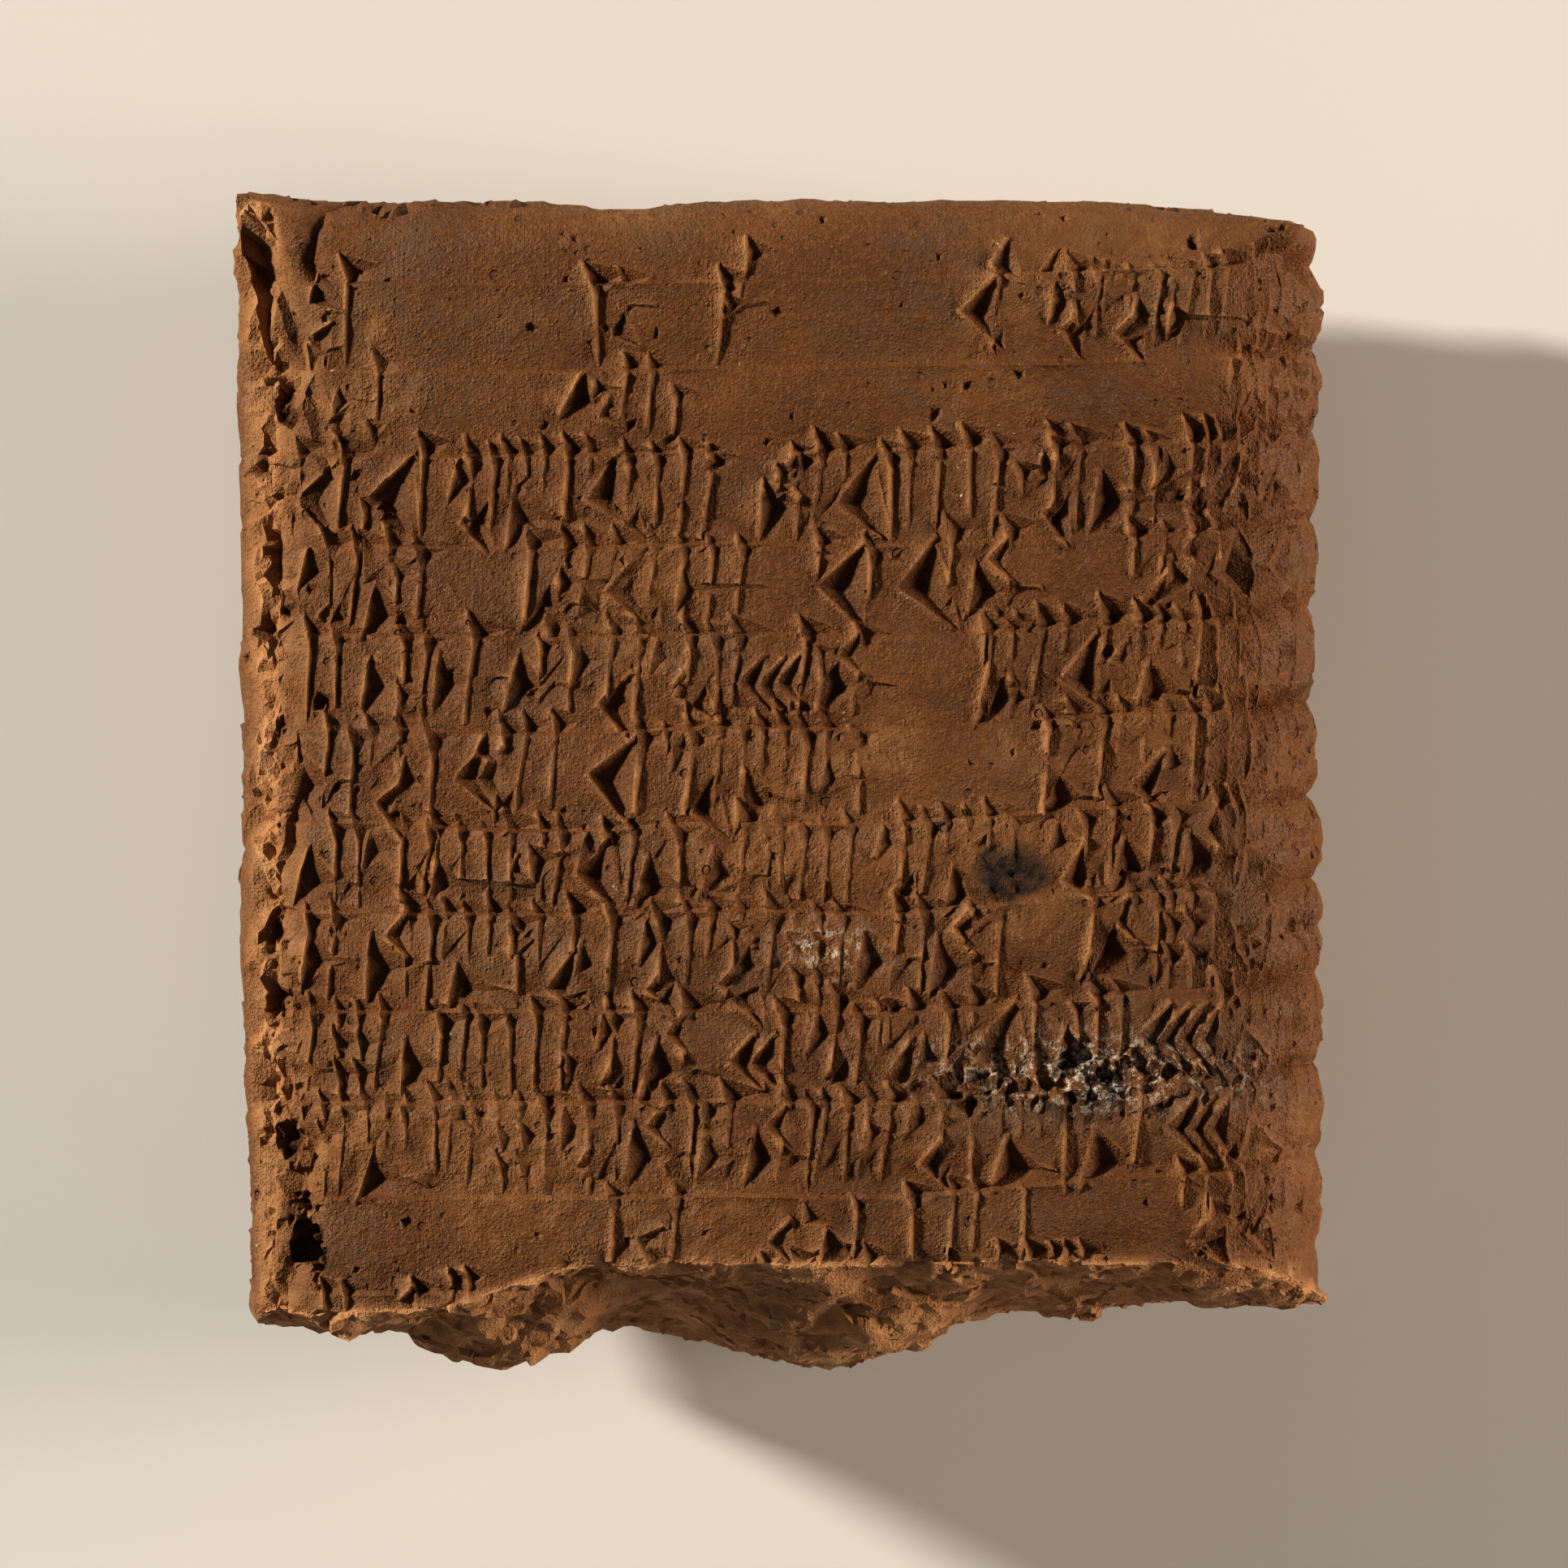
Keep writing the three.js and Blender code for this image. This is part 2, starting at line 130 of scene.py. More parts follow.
def break_y(x, z):
    front = mix(BREAK_LEFT_Y, BREAK_RIGHT_Y, ease(-27, -13, x))
    lumps = (
        -2.7 * bell(x, -22, 6.5) * bell(z, -14, 8)
        - 3.2 * bell(x, 3, 7.5) * bell(z, -22, 10)
        - 1.8 * bell(x, 22, 9) * bell(z, -30, 8)
        + 2.4 * bell(x, -9, 4.5) * bell(z, -10, 9)
        + 1.2 * bell(x, 14, 5) * bell(z, -14, 6)
    )
    corner = 4.5 * ease(-22, -38, x) * ease(-12, -28, z) + 2.2 * ease(27, 39, x) * ease(-18, -30, z) + 2.3 * ease(9, 17, x)
    return mix(front, BREAK_BODY_Y + lumps + corner, ease(-0.5, -13, z)) + 0.9 * ease(-31, -36, z)


def body(x, y, z):
    """Negative inside the clay, zero on its surface."""
    f = np.maximum(z - front_z(x, y), back_z(x, y) - z)
    f = meet(f, y - top_y(x), mix(1.2, 6.5, ease(-39, -29, x)) * mix(1, 0.62, ease(28, 38, x)))
    f = meet(f, x - right_x(y, z), mix(2.6, 11.0, ease(-22, -13, z)) * mix(1, 0.3, ease(37, 41, y)))
    f = meet(f, left_x(y) - x, mix(0.9, 3.0, ease(-15, -8, z)) * mix(1, 0.3, ease(36, 40, y)))
    f = meet(f, break_y(x, z) - y, 0.5)
    for at, size in CHIPS:
        d = np.sqrt(((x - at[0]) / size[0]) ** 2 + ((y - at[1]) / size[1]) ** 2 + ((z - at[2]) / size[2]) ** 2)
        f = np.maximum(f, (1 - d) * min(size))
    return f


def body_at(p):
    return body(p[:, 0], p[:, 1], p[:, 2])


def to_surface(o, d):
    """Follows rays from inside the body to its surface: halving, then false position."""
    lo = np.zeros(len(o))
    hi = np.full(len(o), 40.0)
    for _ in range(7):
        t = (lo + hi) / 2
        inside = body_at(o + d * t[:, None]) < 0
        lo = np.where(inside, t, lo)
        hi = np.where(inside, hi, t)
    flo = body_at(o + d * lo[:, None])
    fhi = body_at(o + d * hi[:, None])
    for _ in range(6):
        t = lo - flo * (hi - lo) / np.where(np.abs(fhi - flo) < 1e-9, 1e-9, fhi - flo)
        t = np.clip(t, lo, hi)
        ft = body_at(o + d * t[:, None])
        inside = ft < 0
        fhi = np.where(inside, fhi * 0.6, ft)
        flo = np.where(inside, ft, flo * 0.6)
        hi = np.where(inside, hi, t)
        lo = np.where(inside, t, lo)
    t = np.where(np.abs(flo) < np.abs(fhi), lo, hi)
    return o + d * t[:, None]


def outward(p, e=0.22):
    n = np.empty_like(p)
    for a in range(3):
        s = np.zeros(3)
        s[a] = e
        n[:, a] = body_at(p + s) - body_at(p - s)
    return n / np.maximum(np.linalg.norm(n, axis=1), 1e-9)[:, None]


# =====================================================================================================
# 2. Noise worked out from a seeded lattice
# =====================================================================================================
LAT = 64
_lattice = np.random.default_rng(77).random((LAT, LAT, LAT)).astype(F) * 2 - 1


def noise(p, size, seed=0):
    """Smooth noise of about -1..1 whose lumps are about `size` mm across."""
    q = p / size + np.array([17.31, 5.77, 9.13]) * (seed + 1)
    i = np.floor(q).astype(np.int32)
    f = (q - i).astype(F)
    f = f * f * f * (f * (f * 6 - 15) + 10)
    i0 = i & (LAT - 1)
    i1 = (i0 + 1) & (LAT - 1)
    out = 0
    for cx in (0, 1):
        ix = (i1 if cx else i0)[:, 0]
        wx = f[:, 0] if cx else 1 - f[:, 0]
        for cy in (0, 1):
            iy = (i1 if cy else i0)[:, 1]
            wy = f[:, 1] if cy else 1 - f[:, 1]
            for cz in (0, 1):
                iz = (i1 if cz else i0)[:, 2]
                wz = f[:, 2] if cz else 1 - f[:, 2]
                out = out + _lattice[ix, iy, iz] * (wx * wy * wz)
    return out * 1.25


def fbm(p, size, octaves, seed=0, gain=0.5):
    out, a, total = 0, 1.0, 0
    for o in range(octaves):
        out = out + a * noise(p, size / 2**o, seed * 7 + o * 3 + 1)
        total += a
        a *= gain
    return out / total


def facets(p, size, seed=0, slope=0.5, softness=0.0):
    """Broken clay: flat scales of random height and slope, about `size` mm across, that end in small steps."""
    q = p / size
    base = np.floor(q).astype(np.int32)
    best = np.full(len(p), 1e9)
    value = np.zeros(len(p))
    for dx in (-1, 0, 1):
        for dy in (-1, 0, 1):
            for dz in (-1, 0, 1):
                c = base + np.array([dx, dy, dz])
                h = (c[:, 0] * 73856093 ^ c[:, 1] * 19349663 ^ c[:, 2] * 83492791 ^ (seed * 2654435 + 97)) & 0x3FFFF
                r = _lattice.ravel()
                jx, jy, jz = [(r[(h * k + 11) & 0x3FFFF] * 0.5 + 0.5) for k in (3, 5, 7)]
                gx, gy, gz, off = [r[(h * k + 29) & 0x3FFFF] for k in (11, 13, 17, 19)]
                d = q - c - np.stack([jx, jy, jz], 1)
                d2 = (d * d).sum(1)
                near_it = d2 < best
                v = off * 0.6 + slope * (gx * d[:, 0] + gy * d[:, 1] + gz * d[:, 2]) * 2
                value = np.where(near_it, v, value)
                best = np.where(near_it, d2, best)
    return value


def facets_where(mask, p, *args, **kw):
    out = np.zeros(len(p))
    out[mask] = facets(p[mask], *args, **kw)
    return out


# =====================================================================================================
# 3. A closed fine grid drawn out to the body
# =====================================================================================================
LOW = np.array([LEFT_X, -38.6, -THICKNESS])
HIGH = np.array([RIGHT_X, 42.3, 0.0])
MARGIN = 9.0
NX, NY, NZ = [int(round(v / GRID)) for v in (HIGH - LOW)]


def build_grid():
    xs, ys, zs = [np.linspace(LOW[a], HIGH[a], n + 1) for a, n in enumerate((NX, NY, NZ))]
    count = 0
    q = []

    def take(a, b, c):
        nonlocal count
        n = a.size
        ids = np.arange(count, count + n).reshape(a.shape)
        count += n
        q.append(np.stack([a.ravel(), b.ravel(), c.ravel()], 1))
        return ids

    gx, gy = np.meshgrid(xs, ys, indexing="ij")
    front = take(gx, gy, np.full_like(gx, zs[-1]))
    back = take(gx, gy, np.full_like(gx, zs[0]))
    gy2, gz2 = np.meshgrid(ys, zs[1:-1], indexing="ij")
    left = take(np.full_like(gy2, xs[0]), gy2, gz2)
    right = take(np.full_like(gy2, xs[-1]), gy2, gz2)
    gx3, gz3 = np.meshgrid(xs[1:-1], zs[1:-1], indexing="ij")
    bottom = take(gx3, np.full_like(gx3, ys[0]), gz3)
    top = take(gx3, np.full_like(gx3, ys[-1]), gz3)
    left = np.concatenate([back[0, :, None], left, front[0, :, None]], 1)
    right = np.concatenate([back[-1, :, None], right, front[-1, :, None]], 1)

    def cap(inner, j):
        mid = np.concatenate([back[1:-1, j, None], inner, front[1:-1, j, None]], 1)
        return np.concatenate([left[j][None], mid, right[j][None]], 0)

    bottom, top = cap(bottom, 0), cap(top, -1)
    quads = []

    def faces(g, flip):
        a, b, c, d = g[:-1, :-1], g[1:, :-1], g[1:, 1:], g[:-1, 1:]
        f = np.stack([a, b, c, d], -1).reshape(-1, 4)
        quads.append(f[:, ::-1] if flip else f)

    faces(front, False)
    faces(back, True)
    faces(left, True)
    faces(right, False)
    faces(bottom, False)
    faces(top, True)
    q = np.concatenate(q)
    o = np.clip(q, LOW + MARGIN, HIGH - MARGIN)
    d = q - o
    d /= np.linalg.norm(d, axis=1)[:, None]
    return q, o, d, np.concatenate(quads)


q, ray_o, ray_d, quads = build_grid()
P = to_surface(ray_o, ray_d)
N = outward(P)
X, Y, Z = P[:, 0], P[:, 1], P[:, 2]
NXc, NYc, NZc = N[:, 0], N[:, 1], N[:, 2]

# how much each point belongs to a side of the tablet
is_break = ease(-1.3, -0.1, break_y(X, Z) - Y) * ease(0.2, -0.3, NYc)
is_front = ease(0.45, 0.8, NZc) * (1 - is_break)
is_back = ease(-0.55, -0.85, NZc) * (1 - is_break)
is_right = ease(0.3, 0.7, NXc) * (1 - is_break)
is_left = ease(-0.6, -0.9, NXc) * (1 - is_break)
is_top = ease(0.55, 0.85, NYc)

# =====================================================================================================
# 4. Rows: each row is a shallow trough that ends in a sharp lip at the next ruled line
# =====================================================================================================
def line_climb(x, y):
    return 1.3 * ease(0, 33, x) * mix(1.5, 0.7, ease(-35, 35, y)) + 1.2 * ease(30, 39, x)


def row_share(v, lines):
    """0 just below a line, 1 at the next; and the row's height."""
    edges = np.array(lines[::-1])
    k = np.clip(np.searchsorted(edges, v, side="left") - 1, 0, len(edges) - 2)
    h = edges[k + 1] - edges[k]
    return np.clip((edges[k + 1] - v) / h, 0, 1), h, k


def sag(s):
    return ease(0.42, 0.93, s) - ease(0.955, 1.0, s)


WOBBLE = 0.35 * noise(P, 14.0, 3)
inside = ease(-34.5, -31.5, Y) * 0.5 + 0.5

relief = np.zeros(len(P))
sf, hf, kf = row_share(Y - line_climb(X, Y) + WOBBLE, FRONT_LINES)
depth_f = 0.44 * (1 + 0.45 * noise(P, 11.0, 5))
relief -= is_front * (1 - is_right) * inside * depth_f * sag(sf)
line_lip = np.clip(0.45 + 1.1 * noise(P, 7.0, 6), 0, 1.2) * ease(-36, -32, X)
open_row = np.clip(ease(28, 30, Y) + ease(-27, -29.5, Y), 0, 1)
relief += is_front * (1 - is_right) * inside * line_lip * (0.02 + 0.12 * open_row) * np.exp(-((np.minimum(sf * hf, (1 - sf) * hf) - 0.04) / 0.15) ** 2)
ribs = (1 - np.sin(math.pi * np.clip(sf, 0, 1)) ** 0.62) * ease(2.4, 0.3, Y - line_climb(X, Y) + WOBBLE - FRONT_LINES[0])
relief -= is_right * ease(41, 38, Y) * inside * (1.0 + 0.45 * noise(P, 8.0, 8)) * ribs
relief -= is_right * ease(41, 38, Y) * 0.5 * np.clip(0.4 + 1.6 * noise(P, 7.5, 9), 0, 1) * np.exp(-(((sf - 0.52) * hf) / 0.7) ** 2)
sb, hb, kb = row_share(Y + 0.8 * WOBBLE, BACK_LINES)
relief -= is_back * (0.40 + 0.2 * noise(P, 9.0, 11)) * sag(1 - sb)
st, ht, kt = row_share(Z + 0.6 * WOBBLE, TOP_LINES)
relief -= is_top * (0.30 + 0.12 * noise(P, 9.0, 12)) * sag(1 - st)
sl, hl, kl = row_share(Z + 0.6 * WOBBLE, LEFT_LINES)
relief -= is_left * 0.22 * sag(1 - sl)

# =====================================================================================================
# 5. Wedges. A sign-like cluster is only a handful of shapes laid side by side; none is a real sign.
# =====================================================================================================
class Near:
    """Finds grid points close to a place."""

    def __init__(self, pts, cell=2.6):
        self.cell = cell
        self.lo = pts.min(0) - cell
        k = np.floor((pts - self.lo) / cell).astype(np.int64)
        self.n = k.max(0) + 2
        key = (k[:, 0] * self.n[1] + k[:, 1]) * self.n[2] + k[:, 2]
        order = np.argsort(key, kind="stable")
        keys, start = np.unique(key[order], return_index=True)
        self.table = {int(a): s for a, s in zip(keys, np.split(order, start[1:]))}

    def around(self, c, r):
        a = np.floor((c - r - self.lo) / self.cell).astype(int)
        b = np.floor((c + r - self.lo) / self.cell).astype(int)
        out = []
        for i in range(a[0], b[0] + 1):
            for j in range(a[1], b[1] + 1):
                base = (i * self.n[1] + j) * self.n[2]
                for k in range(a[2], b[2] + 1):
                    s = self.table.get(int(base + k))
                    if s is not None:
                        out.append(s)
        return np.concatenate(out) if out else np.zeros(0, int)


near = Near(P)
strokes = []   # (side, line, a, b, kind, size, length, turn, depth share)


def upright(a, b, length, w=2.1, turn=-0.07, deep=1.0):
    return ("U", a, b, w, length, turn, deep)


def level(a, b, length, w=2.2, turn=0.0, deep=1.0):
    return ("L", a, b, w, length, turn, deep)


def corner(a, b, w=2.2, turn=0.0, deep=1.0):
    return ("C", a, b, w, 0.0, turn, deep)


def sign(h, r):
    """One cluster in a row of height h: a list of wedges and its width."""
    s = h / 6.6
    u = lambda a, b: a + (b - a) * r.random()
    kind = r.integers(0, 20)
    tall = u(0.9, 1.02) * h
    lean = u(-0.14, -0.03)
    post = lambda x, k=1.0: upright(x, u(-1.1, 0.4), tall * u(0.92, 1.04) * k, u(2.0, 2.6) * s, lean + u(-0.04, 0.04), u(0.9, 1.15))
    out = []
    if kind < 5:        # a fence of uprights
        n = r.integers(2, 5)
        step = u(1.45, 2.2) * s
        for i in range(n):
            out.append(upright(i * step, u(-0.9, 0.3), tall * u(0.9, 1.02), u(1.8, 2.5) * s, lean + u(-0.04, 0.04)))
        if r.random() < 0.4:
            out.append(level(-0.4, h * u(0.4, 0.6), n * step, u(1.8, 2.6) * s, u(-0.08, 0.08)))
        return out, n * step + 0.2
    if r.random() < 0.11:   # one broad head
        w = u(3.4, 4.3) * s
        out.append(corner(0.0, h * u(0.42, 0.58), w, u(-0.15, 0.15), 1.15))
        out.append(post(w + u(-0.6, 0.4)))
        if r.random() < 0.5:
            out.append(upright(u(0.2, 0.9), -0.6, h * u(0.35, 0.5), 1.9 * s, u(-0.2, 0.1)))
        return out, w + 1.6 * s
    if kind < 6:        # nested corners
        n = r.integers(2, 5)
        step = u(1.2, 1.6) * s
        w = u(2.2, 3.3) * s
        for i in range(n):
            out.append(corner(i * step, h * u(0.46, 0.5), w * u(0.96, 1.04), u(-0.05, 0.05), 1.1))
        width = n * step + 1.0 * s
        out.append(post(width))
        return out, width + 1.3 * s
    if kind < 10:       # crossing
        out = [level(-0.3, h * u(0.45, 0.6), u(4.4, 5.4) * s, u(2.9, 3.6) * s, u(-0.12, 0.12), 1.15), post(2.5 * s)]
        if r.random() < 0.6:
            out.append(post(4.1 * s))
        if r.random() < 0.5:
            out.append(corner(0.9 * s, h * 0.2, 1.9 * s))
        return out, 4.9 * s
    if kind == 10:      # rows of small heads closed by a post
        for j in range(3):
            for i in range(2):
                out.append(upright(i * 1.45 * s + u(-0.12, 0.12), h * (-0.03 + 0.31 * j), h * u(0.3, 0.38), u(1.7, 2.0) * s, u(-0.15, 0.0), 1.0))
        out.append(post(3.0 * s))
        return out, 4.3 * s
    if kind < 16:       # two tiers: short uprights above a broad wedge
        w = u(3.6, 4.6) * s
        n = r.integers(2, 4)
        for i in range(n):
            out.append(upright(i * w / n + u(-0.1, 0.1), u(-0.7, -0.1), h * u(0.42, 0.58), u(1.7, 2.2) * s, lean + u(-0.06, 0.06)))
        if r.random() < 0.55:
            out.append(level(u(-0.5, 0.2), h * u(0.66, 0.78), w, u(2.8, 3.4) * s, u(-0.12, 0.12), 1.15))
        else:
            out.append(corner(u(0.0, 0.5), h * u(0.66, 0.76), u(2.6, 3.2) * s, u(-0.2, 0.2), 1.15))
            out.append(upright(u(0.5, 0.7) * w, h * 0.42, h * 0.5, 2.0 * s, -0.5, 1.0))
        out.append(post(w + 0.2))
        return out, w + 1.5 * s
    width = u(4.0, 5.2) * s
    out.append(level(u(-0.2, 0.1) * width, h * u(0.15, 0.3), u(3.0, 4.4) * s, u(2.0, 2.8) * s, u(-0.15, 0.15)))
    out.append(corner(u(0.0, 0.35) * width, h * u(0.6, 0.75), u(2.0, 3.0) * s, u(-0.25, 0.25), u(0.95, 1.2)))
    if r.random() < 0.4:
        out.append(upright(u(0.4, 0.7) * width, h * u(0.05, 0.4), h * u(0.5, 0.65), u(1.8, 2.3) * s, r.choice([-0.58, 0.45]), 1.0))
    x = u(0.3, 0.5) * width
    while x < width:
        out.append(post(x))
        x += u(1.5, 2.2) * s
    return out, width * 0.97


def write(side, line, height, start, end, gaps=(), gap=(-0.15, 0.3), seed=0, skip=0.0, fill=0.08):
    r = np.random.default_rng(SEED + seed)
    a = start
    while a < end - 1.0:
        blocked = [g for g in gaps if g[0] - 2.6 < a < g[1]]
        if blocked:
            a = blocked[0][1] + 0.2
            continue
        wedges, width = sign(height, r)
        if r.random() >= skip:
            for k in wedges:
                strokes.append((side, line, a + k[1], k[2]) + (k[0], k[3], k[4], k[5], k[6]))
        a += width + r.uniform(*gap)
    for _ in range(int((end - start) * fill)):     # small late wedges between the clusters
        a, b = r.uniform(start, end), r.uniform(-0.05, 0.62) * height
        if any(g[0] - 1.2 < a < g[1] for g in gaps):
            continue
        if r.random() < 0.6:
            k = upright(0, 0, r.uniform(1.6, 3.4), r.uniform(1.2, 1.7), r.uniform(-0.25, 0.1))
        else:
            k = corner(0, 0, r.uniform(1.2, 1.8), r.uniform(-0.4, 0.4))
        strokes.append((side, line, a, b) + (k[0], k[3], k[4], k[5], k[6]))


def place(side, line, a, wedges):
    for k in wedges:
        strokes.append((side, line, a + k[1], k[2]) + (k[0], k[3], k[4], k[5], k[6]))


END = 60.0
# front: two open rows
place("front", 36.0, -34.4, [corner(0.2, 1.4, 1.9, 0.5), corner(0.0, 3.9, 2.0, -0.3), upright(3.0, -1.1, 7.2, 2.3), level(0.0, 5.4, 3.0, 1.8, 0.3)])
place("front", 36.0, -14.8, [level(2.2, 1.9, 3.4, 1.7, 0.1), corner(1.7, 3.6, 2.4, 0.3, 1.0), upright(1.2, -0.3, 6.4, 2.7, 0.05, 1.25), corner(3.4, 0.4, 1.6, 1.1)])
place("front", 36.0, -5.0, [upright(0.8, -0.2, 6.6, 2.2, -0.08), upright(2.6, -2.4, 4.9, 1.9, -0.25, 1.0), level(0.9, 1.7, 3.2, 1.4, 0.1, 0.8)])
place("front", 36.0, 12.0, [corner(0.6, 2.4, 3.2, 0.0, 1.2), upright(3.4, -0.3, 6.2, 1.7, -0.12), corner(2.8, -0.9, 2.1, 0.2, 1.0), corner(6.2, 0.0, 2.2, 0.1, 0.9)])
write("front", 35.8, 6.0, 19.5, 34.0, seed=101, skip=0.25)
write("front", 35.6, 6.2, 35.5, END, seed=102)
place("front", 29.6, -34.9, [corner(0.3, 1.6, 1.7, 0.3), corner(1.9, 3.6, 2.0, -0.2), level(2.6, 2.0, 3.2, 1.5), upright(5.8, -0.9, 5.8, 2.3, -0.08), upright(5.2, 4.0, 2.6, 1.5, 0.1)])
place("front", 29.6, -15.6, [level(0.2, 1.7, 3.0, 2.9, -0.25, 1.1), level(1.9, 1.3, 2.8, 1.4), upright(4.4, -0.6, 4.6, 1.7, -0.12), upright(6.2, -0.4, 5.0, 1.7, -0.14),
                             upright(7.9, 1.6, 3.4, 1.6, -0.12), corner(2.3, 3.3, 1.6, 0.3, 0.8)])
write("front", 29.6, 6.0, 33.0, END, seed=104)
# front: close rows, with the blank stretches the scribe left
ROWS = [
    (23.6, 6.7, [(-4.6, -1.6)], 0.0),
    (17.0, 6.6, [(-22.6, -18.2), (-1.0, 2.2), (20.5, 25.0)], 0.0),
    (10.6, 7.0, [(9.8, 14.2)], 0.0),
    (3.7, 7.1, [(8.0, 18.6)], 0.0),
    (-3.2, 6.6, [(15.0, 19.4)], 0.0),
    (-9.4, 7.3, [(17.6, 22.0)], 0.0),
    (-16.5, 7.0, [(-24.0, -21.8)], 0.0),
    (-23.1, 7.0, [(13.0, 15.5)], 0.05),
]
for i, (line, h, gaps, skip) in enumerate(ROWS):
    write("front", line, h, -35.2 + 0.6 * (i % 3), END, gaps, seed=110 + i, skip=skip)
# tall posts beside the blank stretches
place("front", 10.6, 14.4, [upright(0.4, -0.3, 7.2, 1.8, -0.03, 1.0), upright(1.9, -0.1, 7.0, 1.7, -0.04, 1.0)])
place("front", 17.0, -18.6, [level(2.4, 2.6, 3.4, 2.0, 0.1), upright(0.5, -0.6, 6.8, 2.5, -0.1, 1.2)])
place("front", 3.7, 18.4, [upright(0.6, -0.2, 7.3, 2.0, -0.06, 1.1)])
place("front", -3.2, -16.6, [corner(1.6, 3.2, 3.4, 0.0, 1.3), level(-1.6, 2.6, 3.6, 2.4, 0.3)])
place("front", -9.4, 21.6, [upright(0.6, -0.2, 6.6, 2.0, -0.08, 1.0)])
# front: last open rows and the heads cut by the break
LAST = -29.9
place("front", LAST, -12.8, [corner(2.2, 2.6, 2.0, -0.4), level(3.0, 4.0, 2.4, 1.5), upright(0.6, -0.4, 6.6, 2.3, -0.06, 1.25), upright(5.2, -0.5, 6.0, 1.9, -0.1)])
place("front", LAST, -1.2, [corner(0.0, 2.9, 2.1), corner(2.6, 1.6, 1.7, 0.7), level(3.9, 3.2, 2.8, 2.0), corner(2.2, 4.4, 1.6, -0.2), upright(6.4, 0.2, 4.2, 1.4)])
place("front", LAST, 8.6, [upright(0.6, -0.1, 6.4, 2.2, 0.0, 1.1), upright(3.6, -0.6, 6.0, 1.6), upright(5.2, -0.2, 4.6, 1.6), level(3.0, 4.6, 3.0, 1.4, 0.0, 0.8)])
place("front", LAST, 17.2, [upright(0.0, 0.2, 5.6, 1.2, 0.0, 0.6)])
write("front", LAST, 6.4, 28.6, END, seed=130)
write("front", -36.1, 5.4, -33.0, -13.5, seed=131, gap=(0.0, 1.4))
write("front", -34.6, 4.6, -12.0, 33.0, seed=132, skip=0.4, gap=(0.0, 2.0))
# back: written the other way up
for i in range(BACK_ROWS - 1):
    write("back", BACK_LINES[i + 1], BACK_PITCH, -37.0 + 0.5 * (i % 4), 36.5, seed=200 + i, gap=(-0.25, 0.15))
# left edge: three lines along it
for i in range(3):
    write("left", LEFT_LINES[3 - i], 6.0, -36.0, 36.5, seed=300 + i, gap=(-0.1, 0.35), skip=0.04)
# top edge: four lines
for i in range(4):
    write("top", TOP_LINES[4 - i], 5.6, -35.5, 36.0, [(-13.5, -9.0)] if i in (1, 2) else (), seed=400 + i, gap=(-0.1, 0.35), skip=0.05)


def stroke_rays():
    n = len(strokes)
    o, d, up = np.zeros((n, 3)), np.zeros((n, 3)), np.zeros((n, 3))
    for i, (side, line, a, b, *_r) in enumerate(strokes):
        if side == "front":
            x = min(a, 28.5)
            y = line + float(line_climb(np.float64(min(a, 38.0)), np.float64(line))) - b
            up[i] = (0, 1, 0)
            if a < 28.5:
                o[i], d[i] = (a, y, -14), (0, 0, 1)
            elif a < 45.8:
                t = (a - 28.5) / 11.0
                o[i], d[i] = (28.5, y, -12.5), (math.sin(t), 0, math.cos(t))
            else:
                o[i], d[i] = (15, y, -12.5 - (a - 45.8)), (1, 0, 0)
        elif side == "back":
            o[i], d[i], up[i] = (a, line + b, -16), (0, 0, -1), (0, -1, 0)
        elif side == "left":
            o[i], d[i], up[i] = (-20, a, line + b), (-1, 0, 0), (0, 0, -1)
        else:
            o[i], d[i], up[i] = (a, 22, line + b), (0, 1, 0), (0, 0, -1)
    return o, d, up


so, sd, sup = stroke_rays()
SP = to_surface(so, sd)
SN = outward(SP, 0.6)
SU = sup - SN * (SN * sup).sum(1)[:, None]
SU /= np.linalg.norm(SU, axis=1)[:, None]
SR = np.cross(SU, SN)

marks = np.zeros(len(P))
snapped = np.zeros(len(P), bool)


